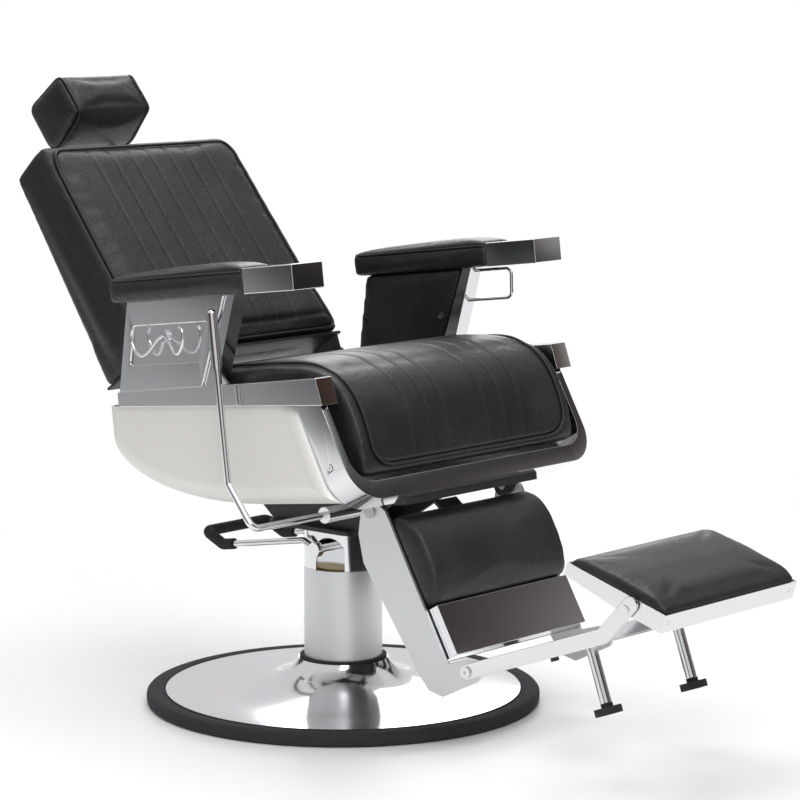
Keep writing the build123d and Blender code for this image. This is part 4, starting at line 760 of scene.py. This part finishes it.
@dataclass
class Pad:
    """A stuffed pad grown from its solid: remeshed, blown up by cloth, then sewn."""

    node: str
    body: str
    lean: Lean
    rests: Callable[[Array], Array]
    inset: float = 4.0 * MM
    voxel: float = 5.0 * MM
    swell: float = 10.0 * MM
    rounding: int = 10
    fill: float = 0.7
    finish: Finish = LEATHER
    made: bpy.types.Object | None = None
    start: Array | None = None
    facing: Array | None = None

    @property
    def name(self) -> str:
        """Name of the finished pad."""
        return self.node + "_hide"

    @staticmethod
    def coords(mesh: bpy.types.Mesh) -> Array:
        """Vertex places of a mesh."""
        flat = np.empty(len(mesh.vertices) * 3)
        mesh.vertices.foreach_get("co", flat)
        return flat.reshape(-1, 3)

    @staticmethod
    def normals(mesh: bpy.types.Mesh) -> Array:
        """Vertex normals of a mesh."""
        flat = np.empty(len(mesh.vertices) * 3)
        mesh.vertex_normals.foreach_get("vector", flat)
        return flat.reshape(-1, 3)

    @staticmethod
    def move(mesh: bpy.types.Mesh, places: Array) -> None:
        """Put a mesh's vertices at new places."""
        mesh.vertices.foreach_set("co", places.reshape(-1))
        mesh.update()

    @staticmethod
    def relaxed(mesh: bpy.types.Mesh, places: Array, passes: int) -> Array:
        """Places after each point moves half way to its neighbours' mean, passes times."""
        pairs = np.empty(len(mesh.edges) * 2, dtype=np.int64)
        mesh.edges.foreach_get("vertices", pairs)
        pairs = pairs.reshape(-1, 2)
        ends = np.concatenate((pairs[:, 0], pairs[:, 1]))
        others = np.concatenate((pairs[:, 1], pairs[:, 0]))
        degree = np.maximum(np.bincount(ends, minlength=len(places)), 1)[:, None]
        for _ in range(passes):
            columns = [np.bincount(ends, places[others, axis], minlength=len(places)) for axis in range(3)]
            places = 0.5 * places + 0.5 * np.stack(columns, axis=1) / degree
        return places

    def baked(self) -> None:
        """Replace the object's mesh by its evaluated one and drop its modifiers."""
        graph = bpy.context.evaluated_depsgraph_get()
        mesh = bpy.data.meshes.new_from_object(self.made.evaluated_get(graph))
        self.made.modifiers.clear()
        self.made.data = mesh
        mesh.name = self.name

    def block_out(self) -> None:
        """Copy the solid, remesh it in small even cells, round it and draw it in by the inset."""
        self.made = bpy.data.objects.new(self.name, frame["nodes"][self.node].data.copy())
        bpy.context.scene.collection.objects.link(self.made)
        closed_up(self.made)
        cells = self.made.modifiers.new("cells", "REMESH")
        cells.mode = "VOXEL"
        cells.voxel_size = self.voxel
        self.baked()
        mesh = self.made.data
        self.move(mesh, self.relaxed(mesh, self.coords(mesh), self.rounding))
        self.move(mesh, self.coords(mesh) - self.inset * self.normals(mesh))
        self.start = self.coords(mesh)
        self.facing = self.normals(mesh)

    def stuff(self) -> None:
        """Add the cloth that the stuffing's pressure blows up, held where the pad rests on its board."""
        held = self.made.vertex_groups.new(name="resting")
        resting = np.flatnonzero(self.rests(self.lean.local(self.start)))
        held.add(resting.tolist(), 1.0, "REPLACE")
        cloth = self.made.modifiers.new("stuffing", "CLOTH")
        cloth.settings.quality = STUFFING.quality
        cloth.settings.mass = STUFFING.mass
        cloth.settings.tension_stiffness = STUFFING.stretch
        cloth.settings.compression_stiffness = STUFFING.stretch
        cloth.settings.shear_stiffness = STUFFING.shear
        cloth.settings.bending_stiffness = STUFFING.bending
        cloth.settings.use_pressure = True
        cloth.settings.uniform_pressure_force = STUFFING.pressure
        cloth.settings.effector_weights.gravity = 0.0
        cloth.settings.vertex_group_mass = "resting"
        cloth.collision_settings.use_collision = False
        cloth.point_cache.frame_start = 1
        cloth.point_cache.frame_end = Upholstery.FRAMES

    def settle(self) -> None:
        """Crown the faces by the cloth's move, keep the edges straight, smooth and divide once.

        Of each point's move only the outward share counts. It is drawn from the inset start by
        swell tanh(share / swell), and an inward share counts by a tenth. The inset is then given back.
        """
        if self.made.modifiers:
            self.baked()
            mesh = self.made.data
            push = self.coords(mesh) - self.start
            outward = self.facing
            share = (push * outward).sum(axis=1, keepdims=True)
            crown = np.where(share > 0.0, self.swell * np.tanh(share / self.swell), 0.1 * share)
            places = self.start + crown * outward + self.inset * outward
        else:
            mesh = self.made.data
            places = self.start + self.inset * self.facing
        self.move(mesh, self.relaxed(mesh, places, 3))
        finer = self.made.modifiers.new("finer", "SUBSURF")
        finer.levels = finer.render_levels = 1
        self.baked()
        self.made.data.shade_smooth()

    def seam(self, guide: Array, closed: bool, step: float = 4.0 * MM) -> tuple[Array, Array]:
        """Lay a guide line on the pad.

        Args:
            guide: points near the pad, as (x, rear, up) in its frame.
            closed: whether the line is a loop.
            step: distance between the points that come back.

        Returns:
            Points on the pad's surface and the outward direction at each.
        """
        mesh = self.made.data
        tree = BVHTree.FromPolygons(self.coords(mesh).tolist(), [tuple(p.vertices) for p in mesh.polygons])
        spots = self.lean.world(resample(np.asarray(guide, float), step, closed))
        hits = [tree.find_nearest(Vector(spot)) for spot in spots]
        path = eased(np.array([hit[0][:] for hit in hits]), 3, closed)
        ups = unit(eased(np.array([hit[1][:] for hit in hits]), 6, closed))
        return path, ups

    def press(self, path: Array, groove: Groove) -> None:
        """Sink the hide along a line.

        Each point goes in along its normal by depth exp(-(distance / width) squared).

        Args:
            path: the line's points.
            groove: depth and half-width of the sunk band.
        """
        mesh = self.made.data
        places = self.coords(mesh)
        reach = 3.0 * groove.width
        low, high = path.min(axis=0) - reach, path.max(axis=0) + reach
        near = np.flatnonzero(((places > low) & (places < high)).all(axis=1))
        gap = np.empty(len(near))
        for part in np.array_split(np.arange(len(near)), max(len(near) // 4000, 1)):
            away = places[near[part], None] - path[None]
            gap[part] = np.sqrt((away**2).sum(axis=2).min(axis=1))
        sunk = groove.depth * np.exp(-((gap / groove.width) ** 2))
        places[near] -= sunk[:, None] * self.normals(mesh)[near]
        self.move(mesh, places)

    def sewn(
        self, label: str, path: Array, ups: Array, pitch: float = 5.0 * MM, lift: float = 0.1 * MM
    ) -> None:
        """A row of thread along a line on the pad."""
        walk = resample(np.hstack((path, ups)), pitch)
        spots, outward = walk[:, :3], unit(walk[:, 3:])
        along = unit(np.gradient(spots, axis=0))
        row = stitched(label, spots + lift * outward, along, outward, pitch * 0.66, 0.42 * MM)
        dress(row, THREAD, self.body)

    def welted(self, label: str, path: Array, ups: Array, closed: bool, radius: float = 2.6 * MM) -> None:
        """A leather-covered cord along a line on the pad, sunk by half its radius."""
        cord = swept(label, path + 0.35 * radius * ups, ups, radius, 10, closed)
        dress(cord, WELT, self.body)

    def finish_off(self) -> None:
        dress(self.made, self.finish, self.body)
        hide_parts(self.node)


def arc_corner(centre: Sequence[float], radius: float, first: float, last: float, count: int = 8) -> Array:
    """Points of a circle's arc between two angles in degrees."""
    angle = np.radians(np.linspace(first, last, count))
    return np.stack((centre[0] + radius * np.cos(angle), centre[1] + radius * np.sin(angle)), axis=1)


def rounded_loop(corners: Sequence[tuple[float, float, float, float, float]]) -> Array:
    """Outline made of four rounded corners.

    Args:
        corners: x and y of each corner, its radius, and the signs that point from it to the middle.

    Returns:
        Arc points corner by corner, each arc turning a quarter anticlockwise from the first corner's 0.
    """
    arcs = []
    for number, (x, y, radius, toward_x, toward_y) in enumerate(corners):
        centre = (x + toward_x * radius, y + toward_y * radius)
        arcs.append(arc_corner(centre, radius, 90.0 * number, 90.0 * (number + 1)))
    return np.vstack(arcs)


@dataclass
class SeatCushion:
    """The seat cushion: a waterfall panel with six sewn lines inside a welt."""

    pad: Pad
    welt_x: float = 0.252
    lines: tuple[float, ...] = (0.052, 0.096, 0.145)
    corner: float = 0.045
    step: float = 6.0 * MM
    profile: tuple[tuple[float, float], ...] = (
        (0.196, 0.216),
        (0.100, 0.222),
        (0.0, 0.226),
        (-0.100, 0.229),
        (-0.170, 0.230),
        (-0.220, 0.221),
        (-0.263, 0.199),
        (-0.290, 0.162),
        (-0.305, 0.120),
        (-0.313, 0.080),
        (-0.317, 0.054),
    )

    def sew(self) -> None:
        """Lay the welt round the panel and the sewn lines down it."""
        fall = resample(np.array(self.profile), self.step)
        length = np.linspace(0.0, 1.0, len(fall))
        down = (len(fall) - 1) * (1.0 - length) * self.step
        rounding = np.sqrt(np.maximum(self.corner**2 - (self.corner - down) ** 2, 0))
        inset = np.where(down < self.corner, self.corner - rounding, 0.0)
        side = np.column_stack((self.welt_x - inset, fall))
        across = np.linspace(self.welt_x - self.corner, -self.welt_x + self.corner, 40)[1:-1]
        foot = np.column_stack((across, np.repeat(fall[-1:], len(across), axis=0)))
        other = side[::-1] * np.array((-1.0, 1.0, 1.0))
        path, ups = self.pad.seam(np.vstack((side, foot, other)), False)
        self.pad.press(path, WELT_GROOVE)
        self.pad.welted("seat_welt", path, ups, False)
        for number, x in enumerate([side * x for side in (-1, 1) for x in self.lines]):
            line = fall[3:-3]
            guide = np.column_stack((np.full(len(line), x), line))
            path, ups = self.pad.seam(guide, False, 3.0 * MM)
            self.pad.press(path, STITCH_GROOVE)
            self.pad.sewn(f"seat_stitch_{number}", *self.pad.seam(guide, False, 3.0 * MM))


@dataclass
class BackCushion:
    """The back cushion: a flat-crowned panel with seven sewn lines inside a welt."""

    pad: Pad
    half_low: float = 0.238
    half_high: float = 0.231
    low: float = 0.036
    lip: float = 0.068
    high: float = 0.474
    front: float = -0.052
    top_corner: float = 0.036
    low_corner: float = 0.020
    lip_inset: float = 0.008
    stitch_inset: float = 0.006
    lines: tuple[float, ...] = (-0.141, -0.094, -0.047, 0.0, 0.047, 0.094, 0.141)

    def sew(self) -> None:
        """Lay the welt round the panel and the sewn lines up it."""
        outline = rounded_loop((
            (self.half_high, self.high, self.top_corner, -1, -1),
            (-self.half_high, self.high, self.top_corner, 1, -1),
            (-self.half_low, self.low, self.low_corner, 1, 1),
            (self.half_low, self.low, self.low_corner, -1, 1),
        ))
        guide = np.column_stack((outline[:, 0], np.full(len(outline), self.front), outline[:, 1]))
        path, ups = self.pad.seam(guide, True)
        self.pad.press(np.vstack((path, path[:1])), WELT_GROOVE)
        self.pad.welted("back_welt", path, ups, True)
        lip_end = self.half_low - self.lip_inset
        across = np.linspace(-lip_end, lip_end, 90)
        guide = np.column_stack((across, np.full(len(across), self.front), np.full(len(across), self.lip)))
        path, _ = self.pad.seam(guide, False)
        self.pad.press(path, LIP_GROOVE)
        for number, x in enumerate(self.lines):
            rise = np.linspace(self.lip, self.high - self.stitch_inset, 90)
            guide = np.column_stack((np.full(len(rise), x), np.full(len(rise), self.front), rise))
            path, _ = self.pad.seam(guide, False, 3.0 * MM)
            self.pad.press(path, STITCH_GROOVE)
            self.pad.sewn(f"back_stitch_{number}", *self.pad.seam(guide, False, 3.0 * MM))


@dataclass
class HeadPad:
    """The headrest pad: a rounded box with a welt round each end."""

    pad: Pad
    half_width: float = 0.088
    front: float = -0.030
    rear: float = 0.078
    low: float = 0.545
    high: float = 0.646
    corner: float = 0.022

    def sew(self) -> None:
        """Lay a welt round both ends."""
        loop = rounded_loop((
            (self.rear, self.high, self.corner, -1, -1),
            (self.front, self.high, self.corner, 1, -1),
            (self.front, self.low, self.corner, 1, 1),
            (self.rear, self.low, self.corner, -1, 1),
        ))
        for label, side in (("right", -1.0), ("left", 1.0)):
            guide = np.column_stack((np.full(len(loop), side * self.half_width), loop))
            path, ups = self.pad.seam(guide, True, 3.0 * MM)
            self.pad.press(np.vstack((path, path[:1])), HEAD_GROOVE)
            self.pad.welted(f"headrest_welt_{label}", path, ups, True, radius=2.2 * MM)


@dataclass
class ArmPad:
    """An arm pad: a crowned top panel sewn to its side with a welt and a row of thread below it."""

    pad: Pad
    side: float
    inner: float = 0.273
    width: float = 0.078
    base: float = 0.355
    rise: float = 0.038
    front: float = -0.142
    rear: float = 0.178
    corner_run: float = 0.014
    corner_width: float = 0.012
    thread_drop: float = 0.007

    def sew(self) -> None:
        """Lay the welt along both upper edges and round the rear."""
        label = "right" if self.side < 0 else "left"
        x_in, x_out = self.inner + 1.0 * MM, self.inner + self.width - 1.0 * MM
        line = np.array((
            (x_in, self.front),
            (x_in, self.rear - self.corner_run),
            (x_in + self.corner_width, self.rear),
            (x_out - self.corner_width, self.rear),
            (x_out, self.rear - self.corner_run),
            (x_out, self.front),
        ))
        welt_up = self.base + self.rise
        for name, up in (("arm_welt_", welt_up), ("arm_thread_", welt_up - self.thread_drop)):
            corners = np.column_stack((self.side * line[:, 0], line[:, 1], np.full(len(line), up)))
            guide = resample(corners, 4.0 * MM)
            path, ups = self.pad.seam(guide, False, 3.0 * MM)
            if name == "arm_welt_":
                self.pad.press(path, ARM_GROOVE)
                self.pad.welted(name + label, path, ups, False, radius=1.7 * MM)
            else:
                self.pad.sewn(name + label, path, ups, pitch=4.2 * MM, lift=0.2 * MM)


@dataclass
class Upholstery:
    """Every soft pad of the chair."""

    FRAMES = 20
    pads: list[Pad] = field(default_factory=list)

    def add(self, pad: Pad) -> Pad:
        """Keep a pad and give it back."""
        self.pads.append(pad)
        return pad

    def blow_up(self) -> None:
        """Block out every pad, run their cloth together and settle each."""
        for pad in self.pads:
            pad.block_out()
        for pad in self.pads:
            pad.stuff()
        for number in range(1, self.FRAMES + 1):
            bpy.context.scene.frame_set(number)
        for pad in self.pads:
            pad.settle()
            LOG.info("%s settled with %d points", pad.name, len(pad.made.data.vertices))
        bpy.context.scene.frame_set(1)


# ---------------------------------------------------------------- studio
class View(Enum):
    """How the chair is looked at."""

    PLACE = (-3.8557, -3.5330, 1.2813)
    TURN = (90.0 - 8.0893, 0.0, -48.607)


@dataclass(frozen=True)
class Softbox:
    """An oblong soft light: where it stands, what it points at, its two sides and its power in watts."""

    name: str
    place: tuple[float, float, float]
    target: tuple[float, float, float]
    sides: tuple[float, float]
    power: float

    def hang(self) -> None:
        """Add the light to the scene."""
        lamp = bpy.data.lights.new(self.name, "AREA")
        lamp.shape = "RECTANGLE"
        lamp.size, lamp.size_y = self.sides
        lamp.energy = self.power
        made = bpy.data.objects.new(self.name, lamp)
        made.location = self.place
        aim = Vector(self.target) - Vector(self.place)
        made.rotation_euler = aim.to_track_quat("-Z", "Y").to_euler()
        bpy.context.scene.collection.objects.link(made)


SOFTBOXES = (
    Softbox("key_softbox", (-2.2, -2.8, 3.4), (0.0, 0.0, 0.6), (2.2, 2.2), 62.0),
    Softbox("top_softbox", (0.3, 0.6, 3.8), (0.0, 0.0, 0.5), (2.6, 2.6), 62.0),
    Softbox("rim_softbox", (2.8, 2.2, 2.2), (0.0, 0.0, 0.7), (1.2, 2.4), 26.0),
)


@dataclass
class Studio:
    """Pale floor, soft lights, white surround and the camera.

    The surround's two dim zones stand to the right and left of the view. Each has a soft side edge and
    a soft top edge, given as where the dimming starts and where it is full.
    """

    lens: float = 135.0
    floor_radius: float = 3.4
    aside: tuple[float, float] = (0.70, 0.71)
    right_side: tuple[float, float] = (0.30, 0.46)
    right_top: tuple[float, float] = (0.50, 0.56)
    left_side: tuple[float, float] = (0.40, 0.54)
    left_top: tuple[float, float] = (0.20, 0.26)
    patches: tuple[float, float] = (0.40, 0.48)
    warm_patches: tuple[float, float] = (0.45, 0.60)
    white: tuple[float, float, float] = (0.94, 0.95, 0.97)
    cool_shade: tuple[float, float, float] = (0.016, 0.017, 0.019)
    warm_shade: tuple[float, float, float] = (0.085, 0.042, 0.026)
    strength: float = 0.72

    def build(self) -> None:
        """Make the floor, the surround, the lights and the camera."""
        self.floor()
        self.surround()
        for softbox in SOFTBOXES:
            softbox.hang()
        self.camera()

    def floor(self) -> None:
        """A gently lit pale floor."""
        angle = np.linspace(0.0, 2.0 * math.pi, 96, endpoint=False)
        rim = self.floor_radius * np.stack((np.cos(angle), np.sin(angle), 0.0 * angle), axis=1)
        made = mesh_object("studio_floor", rim, [list(range(len(rim)))])
        made.data.materials.append(FLOOR.material())

    def surround(self) -> None:
        """White to the eye; for reflections, bright with a dim room low down on both sides of the view."""
        world = bpy.data.worlds.new("studio_surround")
        bpy.context.scene.world = world
        world.use_nodes = True
        graph = Graph(world.node_tree)
        way = graph.node("ShaderNodeTexCoord").outputs["Generated"]
        split = graph.node("ShaderNodeSeparateXYZ", {}, {0: way})
        x, y, z = (Value(graph, split.outputs[axis]) for axis in range(3))
        beside = x * self.aside[0] - y * self.aside[1]
        right = beside.ramp(*self.right_side) * (1.0 - z.ramp(*self.right_top))
        left = (beside * -1.0).ramp(*self.left_side) * (1.0 - z.ramp(*self.left_top))
        tall = graph.node("ShaderNodeMapping", {}, {"Vector": way, "Scale": (1.0, 1.0, 0.35)})
        cloud = graph.noise(tall.outputs[0], 5.0, 1.0)
        dim = (right + left) * (0.45 + 0.55 * cloud.ramp(*self.patches))
        warm = graph.noise(way, 6.0, 1.0).ramp(*self.warm_patches)
        shadow = graph.blend(warm, self.cool_shade, self.warm_shade)
        shade = graph.blend(dim, self.white, (0.0, 0.0, 0.0))
        lit = graph.node("ShaderNodeMix", {"data_type": "RGBA", "blend_type": "ADD"}, {0: 1.0})
        graph.tree.links.new(shade, lit.inputs[6])
        graph.tree.links.new(shadow, lit.inputs[7])
        shade = lit.outputs[2]
        ray = graph.node("ShaderNodeLightPath").outputs["Is Camera Ray"]
        seen = graph.node("ShaderNodeBackground", {}, {"Color": (1.0, 1.0, 1.0, 1.0), "Strength": 1.0})
        felt = graph.node("ShaderNodeBackground", {}, {"Color": shade, "Strength": self.strength})
        both = graph.node("ShaderNodeMixShader", {}, {0: ray, 1: felt.outputs[0], 2: seen.outputs[0]})
        graph.node("ShaderNodeOutputWorld", {}, {"Surface": both.outputs[0]})

    def camera(self) -> None:
        """Place the camera."""
        lens = bpy.data.cameras.new("camera")
        lens.lens = self.lens
        lens.sensor_width = 36.0
        lens.clip_end = 100.0
        made = bpy.data.objects.new("camera", lens)
        made.location = View.PLACE.value
        made.rotation_euler = tuple(math.radians(angle) for angle in View.TURN.value)
        bpy.context.scene.collection.objects.link(made)
        bpy.context.scene.camera = made
        bpy.context.scene.view_settings.view_transform = "Standard"


def on_floor_of(limit: float) -> Callable[[Array], Array]:
    """A test for points lower than a height in a pad's frame."""
    return lambda local: local[:, 2] < limit


def behind(limit: float) -> Callable[[Array], Array]:
    """A test for points further back than a distance in a pad's frame."""
    return lambda local: local[:, 1] > limit


def beside_wall(side: float, limit: float) -> Callable[[Array], Array]:
    """A test for points further out than a distance on one side of a pad's frame."""
    return lambda local: side * local[:, 0] > limit


def main() -> None:
    """Build and dress the chair, then set up the studio."""
    logging.basicConfig(level=logging.INFO, format="%(name)s %(message)s")
    plated = {
        "front_frame": 1.6 * MM,
        "arm_blocks": 1.6 * MM,
        "side_rails": 1.2 * MM,
        "rear_rail": 1.0 * MM,
        "leg_plate_right": 1.2 * MM,
        "leg_plate_left": 1.2 * MM,
        "arm_panels": 1.0 * MM,
        "arm_struts": 1.2 * MM,
        "kick_plate": 1.0 * MM,
        "foot_tray": 0.9 * MM,
        "footrest_arms": 1.2 * MM,
        "footrest_crossbar": 1.0 * MM,
        "front_crossbar": 1.0 * MM,
        "back_frame": 0.8 * MM,
        "back_board": 1.2 * MM,
        "underframe": 1.0 * MM,
        "recline_brackets": 1.0 * MM,
        "headrest_guides": 0.8 * MM,
        "headrest_bars": 0.7 * MM,
    }
    Ironwork(plated).dress()
    TrimRing().build()

    work = Upholstery()
    seat = work.add(Pad(
        "seat_cushion",
        "seat",
        SEAT,
        on_floor_of(0.168),
        inset=4.0 * MM,
        voxel=6.0 * MM,
        swell=9.0 * MM,
        rounding=10,
        fill=0.7,
    ))
    back = work.add(Pad(
        "back_cushion",
        "backrest",
        BACK,
        behind(0.045),
        inset=4.0 * MM,
        voxel=6.0 * MM,
        swell=11.0 * MM,
        rounding=12,
        fill=0.75,
    ))
    head = work.add(Pad(
        "headrest_pad",
        "headrest",
        BACK,
        behind(0.069),
        inset=3.0 * MM,
        voxel=4.0 * MM,
        swell=10.0 * MM,
        rounding=26,
        fill=0.8,
    ))
    calf = work.add(Pad(
        "calf_pad",
        "leg_rest",
        LEG,
        behind(-0.026),
        inset=3.0 * MM,
        voxel=4.5 * MM,
        swell=8.0 * MM,
        rounding=12,
        fill=0.75,
    ))
    foot = work.add(Pad(
        "foot_cushion",
        "foot_pad",
        TRAY,
        on_floor_of(0.018),
        inset=2.5 * MM,
        voxel=4.5 * MM,
        swell=6.0 * MM,
        rounding=6,
        fill=0.7,
    ))
    arms = [
        work.add(Pad(
            "arm_pad_" + name,
            "seat",
            SEAT,
            on_floor_of(0.359),
            inset=2.0 * MM,
            voxel=4.0 * MM,
            swell=7.0 * MM,
            rounding=9,
            fill=0.8,
        ))
        for name in ("right", "left")
    ]
    sides = [
        work.add(Pad(
            "inner_pad_" + name,
            "seat",
            SEAT,
            beside_wall(side, 0.297),
            inset=2.0 * MM,
            voxel=4.0 * MM,
            swell=3.0 * MM,
            rounding=3,
            fill=0.5,
        ))
        for name, side in (("right", -1.0), ("left", 1.0))
    ]
    work.blow_up()
    SeatCushion(seat).sew()
    BackCushion(back).sew()
    HeadPad(head).sew()
    for pad, side in zip(arms, (-1.0, 1.0)):
        ArmPad(pad, side).sew()
    for pad in (seat, back, head, calf, foot, *arms, *sides):
        pad.finish_off()
    Studio().build()


if __name__ == "__main__":
    main()
